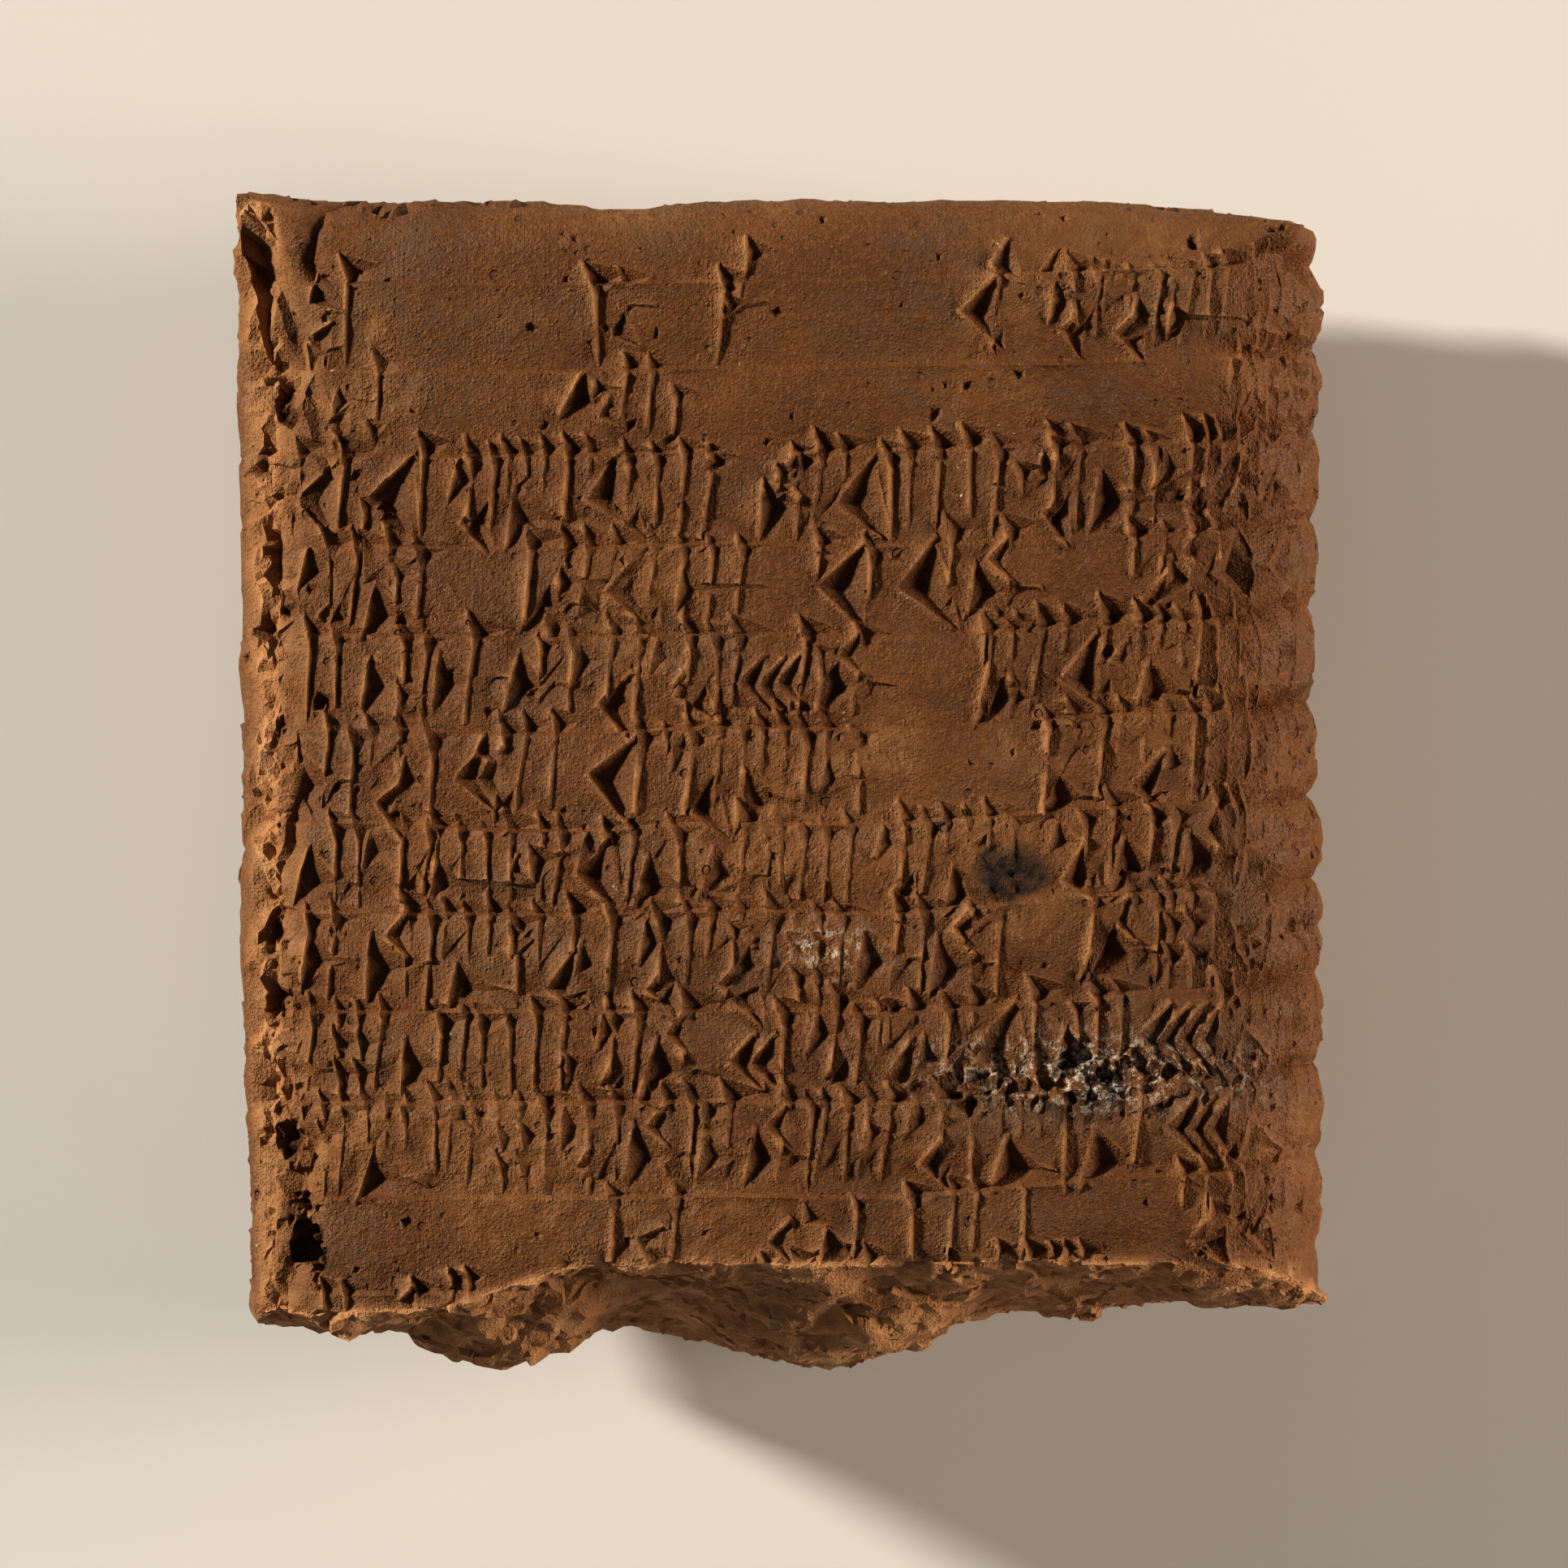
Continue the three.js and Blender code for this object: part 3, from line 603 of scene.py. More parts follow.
def press(i, parts, depth, turn, lips, snap=False, proud=1.0):
    """Presses a wedge: `parts` are triangles with the deepest point of each, joined; `lips` raise clay beside an edge.
    With `snap` it only draws grid points on to the wedge's sharp edges, so that they come out straight."""
    ca, sa = math.cos(turn), math.sin(turn)
    rot = np.array([[ca, -sa], [sa, ca]])
    tris = [(np.array(t) @ rot.T, np.array(p) @ rot.T, k) for t, p, k in parts]
    every = np.concatenate([t[0] for t in tris])
    c2 = (every.max(0) + every.min(0)) / 2
    span = np.linalg.norm(every - c2, axis=1).max() + (0.3 if snap else 1.2)
    idx = near.around(SP[i] + SR[i] * c2[0] + SU[i] * c2[1], span)
    if not len(idx):
        return
    d = P[idx] - SP[i]
    keep = (np.abs(d @ SN[i]) < 3.0) & (N[idx] @ SN[i] > 0.2)
    if snap:
        keep &= ~snapped[idx]
    idx, d = idx[keep], d[keep]
    if not len(idx):
        return
    a, b = d @ SR[i], d @ SU[i]
    cut = None
    edges = []
    for t, p, k in tris:
        share = None
        for e in range(3):
            s0, s1 = t[e], t[(e + 1) % 3]
            v = s1 - s0
            ln = math.hypot(*v)
            nx, ny = -v[1] / ln, v[0] / ln
            dist = (a - s0[0]) * nx + (b - s0[1]) * ny
            way = (p[0] - s0[0]) * nx + (p[1] - s0[1]) * ny
            edges.append((-dist * np.sign(way), ((a - s0[0]) * v[0] + (b - s0[1]) * v[1]) / ln**2, (nx, ny), dist))
            share = dist / way if share is None else np.minimum(share, dist / way)
        c = depth * k * np.clip(share, 0, 1) ** 1.35
        cut = c if cut is None else np.maximum(cut, c)
    if snap:
        for e, _height, _width in lips[:2]:
            out, along, nrm, dist = edges[e]
            hit = (np.abs(dist) < 0.52 * GRID) & (along > 0) & (along < 1) & ~snapped[idx] & (cut < 0.3 * depth)
            j = idx[hit]
            P[j] -= dist[hit, None] * (SR[i] * nrm[0] + SU[i] * nrm[1])
            snapped[j] = True
        return
    inside = cut > 0.004
    old = marks[idx]
    raised = np.zeros(len(idx))
    away = None
    for k in range(len(tris)):
        o = np.maximum(np.maximum(edges[3 * k][0], edges[3 * k + 1][0]), edges[3 * k + 2][0])
        away = o if away is None else np.minimum(away, o)
    sink = 0.17 * depth * np.exp(-(np.maximum(away, 0) / 0.75) ** 2)
    for e, height, width in lips:
        height *= proud
        out, along = edges[e][:2]
        r = height * np.exp(-((np.maximum(out, 0) - 0.04) / width) ** 2) * (out > -0.12) * ease(-0.06, 0.05, along) * ease(1.03, 0.8, along)
        r += 0.52 * height * np.exp(-(out / 0.95) ** 2) * (out > 0) * ease(-0.1, 0.15, along) * ease(1.0, 0.6, along)
        raised = np.maximum(raised, r)
    outside = np.maximum(np.minimum(old + raised, np.maximum(old, 0.34)) - sink * np.clip(1 - raised / 0.08, 0, 1), np.minimum(old, -0.40))
    marks[idx] = np.where(inside, np.minimum(0.35 * old, -cut - sink), outside)


def wedge_parts(kind, w, length, deep):
    if kind == "U":
        head = 0.18 * w + 0.18
        return ([([(-0.34 * w, 0.50 * w), (0.08 * w, -0.72 * w), (0.95 * w, 0.16 * w)], (0.22 * w, -0.10 * w), 1.0),
                 ([(0.0, 0.1), (0.0, -length), (1.20 * w, -0.30 * w)], (0.09 * w, -0.26 * w), (0.03 * w + 0.10) / head)],
                head * deep, [(0, 0.18, 0.145), (3, 0.155, 0.135), (2, 0.05, 0.2)])
    if kind == "L":
        head = 0.16 * w + 0.18
        return ([([(0.14 * w, 0.66 * w), (-0.14 * w, -0.70 * w), (1.0 * w, -0.05 * w)], (0.34 * w, -0.03 * w), 1.0),
                 ([(0.1 * w, 0.20 * w), (0.1 * w, -0.32 * w), (length, 0.0)], (0.36 * w, -0.08 * w), 0.38)],
                head * deep, [(0, 0.18, 0.15), (5, 0.10, 0.15), (2, 0.08, 0.18)])
    return ([([(0.0, 0.0), (1.05 * w, -0.92 * w), (0.78 * w, 0.86 * w)], (0.43 * w, -0.01 * w), 1.0)],
            (0.15 * w + 0.2) * deep, [(0, 0.16, 0.15), (2, 0.17, 0.15), (1, 0.05, 0.18)])


press_rng = np.random.default_rng(SEED + 9)
jitter = press_rng.random((len(strokes), 2))
for only_snap in (True, False):
    for i, (side, line, a, b, kind, w, length, turn, deep) in enumerate(strokes):
        scale = {"front": 1.0, "back": 1.1, "left": 1.65, "top": 1.0}[side]
        parts, depth, lips = wedge_parts(kind, w, length, deep * scale * (0.85 + 0.3 * jitter[i, 1]))
        proud = {"front": mix(1.0, 0.4, ease(31, 37, a)) + 0.25 * ease(40, 46, a), "back": 0.8, "left": 0.32, "top": 0.32}[side]
        if side == "front":
            depth *= mix(1.0, 0.75, bell(a, 35.5, 3.5)) * mix(1.0, 1.15, ease(40, 46, a))
        press(i, parts, depth, turn + (jitter[i, 0] - 0.5) * 0.08, lips, only_snap, proud)
print("wedges", len(strokes), "grid", len(P))

# =====================================================================================================
# 6. Wear: worn patches, chips along the corners, pores, the fracture
# =====================================================================================================
n_big = fbm(P, 9.0, 4, 21)
n_mid = fbm(P, 3.2, 3, 22)
n_fine = fbm(P, 1.3, 2, 23)

worn = (
    is_front * (0.55 * ease(-34.6, -37.6, X)
                + 0.9 * bell(X, 26, 7) * bell(Y, 38.4, 3.0)
                + 0.75 * bell(X, 21, 9.5) * bell(Y, -21.8, 2.9)
                + 0.5 * bell(X, 3, 4) * bell(Y, -11.5, 2.0)
                + 0.6 * bell(X, -33, 3) * bell(Y, -27.5, 3.5))
    + is_back * (0.9 * bell(X, 1, 17) * bell(Y, 2, 13) + 0.6 * bell(X, 10, 14) * bell(Y, -22, 8) + 0.22)
    + is_left * (0.9 * ease(28, 35, Y) + 0.6 * bell(Z, -24, 2.0))
    + is_top * (0.95 * bell(X, -11.5, 3.6) + 0.7 * ease(33, 37, X) + 0.25 * bell(X, 18, 6))
    + is_right * (0.35 * bell(Y, -20, 14) * ease(-16, -24, Z))
)
worn = worn + 0.5 * ease(0.28, 0.55, n_big) * (1 - is_break)
worn = np.clip(worn * (1 + 0.7 * n_mid), 0, 1)

# splintered chips along the sharp corners
fz, bz, lx, by = front_z(X, Y), back_z(X, Y), left_x(Y), break_y(X, Z)
rx = right_x(Y, Z)
c_lf = np.exp(-(np.hypot(Z - fz, X - lx) / 2.4) ** 2)
c_lb = np.exp(-(np.hypot(Z - bz, X - lx) / 2.0) ** 2)
c_rb = np.exp(-(np.hypot(Z - bz, X - rx) / 2.8) ** 2)
rim = np.minimum(np.minimum(np.abs(Z - fz), np.abs(Z - bz)), np.minimum(np.abs(X - lx), np.abs(X - rx)))
c_br = np.exp(-(rim / 1.3) ** 2) * np.exp(-(np.abs(Y - by) / 1.5) ** 2)
c_tl = np.exp(-(np.hypot(Y - top_y(X), X - lx) / 2.0) ** 2)
c_tf = np.exp(-(np.hypot(Y - top_y(X), Z - fz) / 1.6) ** 2)
splinter = 1 - np.abs(fbm(P, 3.6, 3, 31)) * 2.6
splinter2 = 1 - np.abs(fbm(P, 2.0, 2, 32)) * 2.2
zigzag = 0.35 + 0.65 * bell(Y, 0, 9)
bite = np.clip(0.35 + 1.5 * fbm(P, 4.2, 3, 36, 0.45), 0, 1)
chips = np.clip(0.6 * c_lf * zigzag + 0.6 * c_lb * zigzag + 0.35 * c_br + 0.7 * c_tl, 0, 1) * np.clip(0.65 * splinter + 0.35 * splinter2, 0, 1)
chips = np.maximum(chips, np.clip(0.35 * c_lb + 0.6 * c_rb + 0.5 * c_br + 0.35 * c_tf, 0, 1) * bite)

# the ragged band where the left margin has flaked away
band_x = -36.3 + 0.9 * noise(P, 6.0, 33) + 0.5 * noise(P, 2.4, 34) + 1.3 * bell(Y, -31.5, 5)
band = is_front * np.exp(-((X - band_x) / 1.25) ** 2) * ease(34, 29, Y)
ragged = (band > 0.05)
flakes = 0.6 * facets_where(ragged, P, 2.3, 3, 0.55) + 0.4 * facets_where(ragged, P, 1.1, 4, 0.5)
band_cut = band * (0.45 + 0.55 * flakes + 0.45 * np.clip(splinter, 0, 1) + 0.9 * ease(0.15, 0.45, noise(P, 4.6, 35)))
strip = is_front * ease(-36.0, -37.4, X)

surface = 0.20 * n_big + 0.04 * n_mid
surface -= chips * 1.3
surface -= 0.85 * band_cut
flaky = strip > 0.03
surface -= strip * (0.02 + 0.3 * np.abs(n_mid) + 0.3 * np.abs(n_fine) - 0.22 * facets_where(flaky, P, 1.5, 7, 0.6) - 0.3 * fbm(P, 0.9, 2, 66))
crust = is_front * np.exp(-(((X - 21.5) / 10.5) ** 2 + ((Y + 21.3) / 2.4) ** 2) ** 1.5)
surface += crust * (0.55 * facets_where(crust > 0.03, P, 1.3, 8, 0.6) + 0.35 * n_fine - 0.3)
surface -= worn * (0.28 + 0.34 * np.abs(n_mid) + 0.26 * n_fine)

# the fracture: broad scallops, ledges and crumbs
fr_a = fbm(P, 11.0, 3, 41)
fr_b = np.abs(fbm(P * np.array([1, 0.35, 1]), 5.5, 3, 42))
fr_c = fbm(P, 3.2, 5, 43, 0.6)
broken = is_break > 0.02
PB = P[broken]
warp = np.stack([fbm(PB, 3.0, 3, 45 + k) for k in range(3)], 1)
fr_e = np.zeros(len(P))
fr_e[broken] = 0.7 * facets(PB + 2.6 * warp, 5.5, 5, 0.7) + 0.3 * facets(PB + 1.8 * warp, 2.2, 6, 0.6)
fr_f = np.clip(fbm(P, 1.6, 3, 49, 0.6) - 0.12, 0, 1)
surface += is_break * (1.2 * fr_a + 0.9 * (fr_b - 0.2) + 0.62 * fr_c + 0.34 * fr_e - 0.55 * fr_f - 0.1)

# the split lobe at the upper left corner: a gouge with a steep outer wall
t_g = np.clip((41.6 - Y) / 12.5, 0, 1)
g_mid = np.interp(t_g, [0.0, 0.12, 0.30, 0.5, 0.8, 1.0], [-38.2, -37.8, -36.7, -36.6, -37.4, -37.6])
g_wide = np.interp(t_g, [0.0, 0.12, 0.30, 0.5, 0.8, 1.0], [0.35, 1.2, 2.5, 1.5, 0.7, 0.2])
g_u = (X - g_mid + 0.9 * g_wide) / g_wide
gouge = ease(-0.12, 0.12, g_u) * (1 - np.clip(g_u, 0, 1)) * ease(42.0, 40.5, Y) * ease(28.6, 31, Y) * ease(0.1, 0.5, NZc)
surface -= 1.7 * gouge * np.sin(math.pi * np.clip(0.1 + 0.9 * t_g, 0, 1)) ** 0.5
crack = np.exp(-((X + 34.0 - 0.45 * noise(P, 1.7, 61) - 0.12 * (Y - 38)) / 0.36) ** 2) * ease(35.6, 36.6, Y) * ease(42.5, 41, Y) * is_front
surface -= 0.55 * crack

# smooth pressed channel down the left of the writing: a steep left wall and a gentle bright right one
ch_y = np.array([9.0, 17.2, 22.2, 25.6, 30.6, 32.9, 37.1, 40.5])
ch_x = np.array([-32.9, -32.7, -32.5, -33.5, -34.6, -35.2, -36.7, -38.1])
ch_u = X - np.interp(Y, ch_y, ch_x) - 0.12 * noise(P, 3.0, 64)
ch_w = np.interp(Y, [9.0, 15.0, 22.0, 26.0, 32.0, 40.5], [0.5, 0.7, 0.8, 1.3, 1.6, 1.5])
channel = np.where(ch_u < 0, ease(-0.9, 0.0, ch_u), ease(1.0, 0.0, ch_u / ch_w)) * ease(8.5, 12, Y) * ease(40.8, 38.5, Y) * is_front
surface -= np.interp(Y, [9.0, 20.0, 27.0, 36.0], [0.15, 0.25, 0.5, 0.65]) * channel

# deep holes flaked out of the left margin
holed = np.zeros(len(P))
for hx, hy, ra, rb, deep_by in ((-37.0, 16.6, 0.8, 1.3, 1.0), (-37.7, 11.0, 0.7, 1.5, 1.1), (-35.9, 13.0, 0.8, 0.7, 0.7), (-37.1, -11.2, 0.7, 1.6, 1.1), (-36.9, -15.6, 0.8, 1.2, 1.0),
                                (-35.6, -25.5, 1.0, 2.2, 1.1), (-34.4, -32.6, 1.0, 2.4, 1.2), (-35.9, 27.2, 0.9, 1.1, 1.0), (-37.9, 23.2, 0.5, 1.0, 0.8), (-36.6, 4.0, 0.7, 1.1, 0.8),
                                (-33.2, 6.0, 0.7, 0.6, 0.6), (24.2, -6.2, 0.5, 0.6, 0.7), (27.5, -20.6, 0.8, 0.7, 0.8), (12.9, -22.8, 1.1, 0.7, 0.9)):
    hd = np.hypot((X - hx) / ra, (Y - hy) / rb)
    close = (hd < 2.2) & (NZc > 0.3)
    hd = hd[close] + 1.1 * fbm(P[close], 1.3, 3, 65, 0.6)
    holed[close] = np.maximum(holed[close], deep_by * ease(1.25, 0.35, hd))
surface -= holed * (0.85 + 0.8 * np.abs(n_fine))

pores = np.zeros(len(P))
pore_rng = np.random.default_rng(SEED + 5)
pick = pore_rng.integers(0, len(P), 1500)
for v in pick:
    big = pore_rng.random()
    r = 0.2 + 0.42 * big**5 + 0.3 * worn[v] * big
    if is_break[v] > 0.5 and pore_rng.random() < 0.5:
        continue
    idx = near.around(P[v], r * 1.3)
    way = pore_rng.normal(size=3)
    d = P[idx] - P[v]
    dist = np.sqrt((d * d).sum(1) + 1.6 * (d @ (way / np.linalg.norm(way))) ** 2) / r
    hole = 0.7 * r * np.clip(1 - dist**2, 0, 1)
    pores[idx] = np.maximum(pores[idx], hole)

keep_marks = np.clip(1 - 0.62 * worn - 0.95 * is_break - 0.55 * channel - 0.8 * band - 0.5 * strip, 0, 1)
side_fade = 1 - is_left * ease(3.2, 1.4, np.minimum(fz - Z, Z - bz)) - is_top * ease(2.4, 0.8, np.minimum(fz - Z, Z - bz))
marks *= keep_marks * np.clip(side_fade, 0, 1)
pit_cut = np.clip(-marks - 0.12, 0, 2)
total = relief + surface + marks - pores
P1 = P + N * total[:, None]

# =====================================================================================================
# 7. On to the ground, into metres, thinned to the triangle limit
# =====================================================================================================
ct, stt = math.cos(-TILT), math.sin(-TILT)
FINE, PLAIN = 2.7, 0.42    # while the mesh is thinned, heights near the front count more than those near the back
KNOTS = np.array([-40.0, -THICKNESS + 4.5, -5.5, 12.0])
STRETCHED = np.cumsum(np.array([-40.0, (KNOTS[1] - KNOTS[0]) * PLAIN, (KNOTS[2] - KNOTS[1]), (KNOTS[3] - KNOTS[2]) * FINE]))


def stretch(z):
    return np.interp(z, KNOTS, STRETCHED)


def unstretch(z):
    return np.interp(z, STRETCHED, KNOTS)


W = P1.copy()
W[:, 2] = stretch(W[:, 2])
W *= 0.001


def make_mesh(name, verts, faces):
    me = bpy.data.meshes.new(name)
    k = faces.shape[1]
    me.vertices.add(len(verts))
    me.vertices.foreach_set("co", verts.astype(F).ravel())
    me.loops.add(faces.size)
    me.loops.foreach_set("vertex_index", faces.astype(np.int32).ravel())
    me.polygons.add(len(faces))
    me.polygons.foreach_set("loop_start", np.arange(0, faces.size, k, dtype=np.int32))
    me.update(calc_edges=True)
    me.validate()
    return me


def put(me, name, values):
    at = me.attributes.get(name) or me.attributes.new(name, "FLOAT", "POINT")
    at.data.foreach_set("value", np.asarray(values, F))


dense = make_mesh("tablet_dense", W, quads)
# pit: how deep a point lies in a wedge, pore, hole or gouge; the material paints shade there
put(dense, "pit", np.clip(pit_cut + pores * 1.2 + 1.1 * holed + 0.8 * gouge, 0, 2))
put(dense, "worn", worn)
# lighter colour of fresh clay on the break, chips and flaked band; on the left margin strip it is partly a painted
# highlight, on the pressed channel a painted highlight
put(dense, "fresh_clay_and_highlight", np.clip(is_break + 0.35 * chips + (0.3 * band + 0.85 * strip + 0.2 * channel) * (1 - np.clip(1.4 * holed, 0, 1)), 0, 1))
put(dense, "low", np.clip(-(relief + 0.25 * n_mid) / 0.9, 0, 1))
# how high the raised lips beside the wedges stand; the material paints a highlight on them
put(dense, "edge", np.clip(marks / 0.22, 0, 1))
work = bpy.data.objects.new("tablet_dense", dense)
bpy.context.scene.collection.objects.link(work)
thin = work.modifiers.new("thin", "DECIMATE")
thin.decimate_type = "COLLAPSE"
thin.ratio = TARGET_TRIS / (len(quads) * 2)
bpy.context.view_layer.update()
result = bpy.data.meshes.new_from_object(work.evaluated_get(bpy.context.evaluated_depsgraph_get()))
bpy.data.objects.remove(work)
bpy.data.meshes.remove(dense)
result.name = "clay_tablet"
co = np.empty(len(result.vertices) * 3, F)
result.vertices.foreach_get("co", co)
T = co.reshape(-1, 3).astype(float) * 1000   # the tablet's own frame
T[:, 2] = unstretch(T[:, 2])
tx, ty, tz = T[:, 0], T[:, 1], T[:, 2]
V = np.empty_like(T)
V[:, 0] = tx + CAD_SHIFT[0]
V[:, 1] = ty * ct - tz * stt + CAD_SHIFT[1]
V[:, 2] = np.maximum(ty * stt + tz * ct + CAD_SHIFT[2], 0.0)
result.vertices.foreach_set("co", (V * 0.001).astype(F).ravel())
print("tablet triangles", len(result.polygons), "attributes", [a.name for a in result.attributes])
on_front = tz > front_z(tx, ty) - 4.0
stain_n = fbm(T, 6.0, 3, 51)
soot = np.where(on_front, 2.0 * np.exp(-((((tx - 16.2) / 2.5) ** 2 + ((ty + 6.3) / 1.75) ** 2) * (1 + 0.7 * fbm(T, 1.6, 3, 53))) ** 1.5), 0)
soot += 1.15 * np.where(on_front, np.exp(-(((tx - 21.5) / 9.5) ** 2 + ((ty + 21.6) / 2.3) ** 2)), 0) * np.clip(0.7 + 1.6 * fbm(T, 2.2, 3, 52), 0, 1.3)
grey = np.where(on_front, 0.55 * np.exp(-(((tx - 27) / 9) ** 2 + ((ty + 16) / 9) ** 2))
                + 0.7 * np.exp(-(((tx + 26) / 9) ** 2 + ((ty - 33) / 6) ** 2))
                + 0.5 * np.exp(-(((tx - 24) / 9) ** 2 + ((ty - 36) / 5) ** 2)) + 0.15, 0.12)
grey = np.clip(grey + 0.6 * ease(0.05, 0.45, stain_n), 0, 1)
salt = np.where(on_front, 1.0 * np.exp(-(((tx - 21.5) / 10) ** 2 + ((ty + 20.6) / 2.3) ** 2))
                + 0.8 * np.exp(-(((tx - 3) / 3.0) ** 2 + ((ty + 11.6) / 1.5) ** 2)), 0)
patchy = ease(0.0, 0.35, fbm(T, 5.0, 3, 54))
salt += patchy * np.where(~on_front, 0.5 * np.exp(-(((tx + 38) / 4) ** 2 + ((ty + 10) / 5) ** 2 + ((tz + 25) / 5) ** 2)), 0)
salt += patchy * np.where(~on_front, 0.6 * np.exp(-(((tx + 34) / 5) ** 2 + ((ty + 14) / 10) ** 2 + ((tz + 30) / 5) ** 2)), 0)
salt += patchy * np.where(~on_front, 0.55 * np.exp(-(((tx - 38) / 4) ** 2 + ((ty + 4) / 9) ** 2 + ((tz + 24) / 3.5) ** 2)), 0)
sheen = np.clip(ease(30, 38, tx) * ease(-22, -8, tz), 0, 1)
for name, values in (("soot", soot), ("grey", grey), ("salt", salt), ("sheen", sheen)):
    put(result, name, np.clip(values, 0, 1))

result.polygons.foreach_set("use_smooth", np.ones(len(result.polygons), bool))
result.set_sharp_from_angle(angle=math.radians(31))
tablet = bpy.data.objects.new("clay_tablet", result)
bpy.context.scene.collection.objects.link(tablet)

# =====================================================================================================
# 8. Clay material
# =====================================================================================================
mat = bpy.data.materials.new("fired_clay")
mat.use_nodes = True
nt = mat.node_tree
nt.nodes.clear()


def node(kind, **values):
    n = nt.nodes.new(kind)
    for key, v in values.items():
        if key.startswith("i_"):
            n.inputs[key[2:].replace("_", " ")].default_value = v
        else:
            setattr(n, key, v)
    return n


def link(a, b):
    nt.links.new(a, b)


coords = node("ShaderNodeTexCoord")
to_mm = node("ShaderNodeMapping")
to_mm.inputs["Scale"].default_value = (1000, 1000, 1000)
link(coords.outputs["Object"], to_mm.inputs["Vector"])
MM = to_mm.outputs["Vector"]


def tex(size, detail=3.0, rough=0.55, distortion=0.0):
    n = node("ShaderNodeTexNoise")
    n.inputs["Scale"].default_value = 1.0 / size
    n.inputs["Detail"].default_value = detail
    n.inputs["Roughness"].default_value = rough
    n.inputs["Distortion"].default_value = distortion
    link(MM, n.inputs["Vector"])
    return n.outputs["Fac"]


def attribute(name):
    n = node("ShaderNodeAttribute")
    n.attribute_type = "GEOMETRY"
    n.attribute_name = name
    return n.outputs["Fac"]


def ramp(fac, stops):
    n = node("ShaderNodeValToRGB")
    n.color_ramp.elements[0].position = stops[0][0]
    n.color_ramp.elements[1].position = stops[-1][0]
    for pos, _c in stops[1:-1]:
        n.color_ramp.elements.new(pos)
    for e, (_pos, c) in zip(n.color_ramp.elements, stops):
        e.color = (*c, 1) if len(c) == 3 else c
    link(fac, n.inputs["Fac"])
    return n.outputs["Color"]


def grey_ramp(fac, lo, hi, a=0.0, b=1.0):
    return ramp(fac, [(lo, (a, a, a)), (hi, (b, b, b))])


def mixc(fac, a, b, blend="MIX"):
    n = node("ShaderNodeMix", data_type="RGBA", blend_type=blend)
    n.clamp_factor = True
    if isinstance(fac, float):
        n.inputs[0].default_value = fac
    else:
        link(fac, n.inputs[0])
    for sock, v in ((n.inputs[6], a), (n.inputs[7], b)):
        if isinstance(v, tuple):
            sock.default_value = (*v, 1)
        else:
            link(v, sock)
    return n.outputs[2]


def math_node(op, a, b=None, clamp=False):
    n = node("ShaderNodeMath", operation=op)
    n.use_clamp = clamp
    for sock, v in ((n.inputs[0], a), (n.inputs[1], b)):
        if v is None:
            continue
        if isinstance(v, (int, float)):
            sock.default_value = v
        else:
            link(v, sock)
    return n.outputs[0]


broad = tex(14.0, 4.0, 0.6, 0.3)
middle = tex(3.0, 4.0, 0.6)
grain = tex(0.42, 2.0, 0.6)
grit = tex(0.16, 1.0, 0.5)

base = ramp(broad, [(0.30, (0.078, 0.028, 0.0070)), (0.46, (0.128, 0.047, 0.0112)), (0.58, (0.150, 0.058, 0.0138)), (0.74, (0.215, 0.086, 0.0225))])
base = mixc(grey_ramp(middle, 0.35, 0.7, 0.0, 0.55), base, (0.118, 0.043, 0.0105))
base = mixc(math_node("MULTIPLY", grey_ramp(grain, 0.46, 0.70), 0.5), base, (0.245, 0.104, 0.031))
base = mixc(math_node("MULTIPLY", grey_ramp(grit, 0.58, 0.70), 0.75), base, (0.060, 0.024, 0.009))

# grey smudges, then the lighter orange of the broken clay, which on the pressed channel is a painted highlight and on
# the left margin strip is partly one
smudge = math_node("MULTIPLY", attribute("grey"), grey_ramp(tex(2.2, 4.0, 0.65), 0.36, 0.72))
base = mixc(math_node("MULTIPLY", smudge, 0.75), base, (0.098, 0.062, 0.036))
fresh_clay_and_highlight_c = ramp(tex(2.6, 5.0, 0.6), [(0.3, (0.34, 0.155, 0.062)), (0.55, (0.46, 0.235, 0.104)), (0.75, (0.57, 0.33, 0.17))])
base = mixc(attribute("fresh_clay_and_highlight"), base, fresh_clay_and_highlight_c)
worn_c = ramp(tex(1.2, 4.0, 0.6), [(0.35, (0.20, 0.083, 0.025)), (0.7, (0.33, 0.158, 0.060))])
base = mixc(math_node("MULTIPLY", attribute("worn"), 0.6), base, worn_c)

# painted shade in the pits; a warmer tone along the row troughs
pit_shade = math_node("MULTIPLY", attribute("pit"), 0.85, clamp=True)
pit_shade = math_node("MULTIPLY", pit_shade, grey_ramp(tex(1.1, 3.0, 0.6), 0.25, 0.6, 0.45, 1.0))
base = mixc(pit_shade, base, (0.062, 0.022, 0.006))
base = mixc(math_node("MULTIPLY", attribute("low"), 0.35), base, (0.150, 0.058, 0.018))

# painted highlight on the raised lips beside the wedges
base = mixc(math_node("MULTIPLY", attribute("edge"), 0.7), base, (0.37, 0.178, 0.070))

# soot and salt
soot_m = math_node("MULTIPLY", attribute("soot"), grey_ramp(tex(0.9, 4.0, 0.65), 0.3, 0.6, 0.55, 1.0), clamp=True)
base = mixc(soot_m, base, (0.012, 0.011, 0.010))
salt_m = math_node("MULTIPLY", attribute("salt"), grey_ramp(tex(0.7, 5.0, 0.7), 0.51, 0.60), clamp=True)
base = mixc(salt_m, base, (0.58, 0.50, 0.41))
flecks = math_node("MULTIPLY", grey_ramp(tex(0.5, 2.0, 0.5), 0.735, 0.77), grey_ramp(tex(9.0, 2.0, 0.5), 0.45, 0.65), clamp=True)
base = mixc(math_node("MULTIPLY", flecks, 0.7), base, (0.55, 0.47, 0.38))

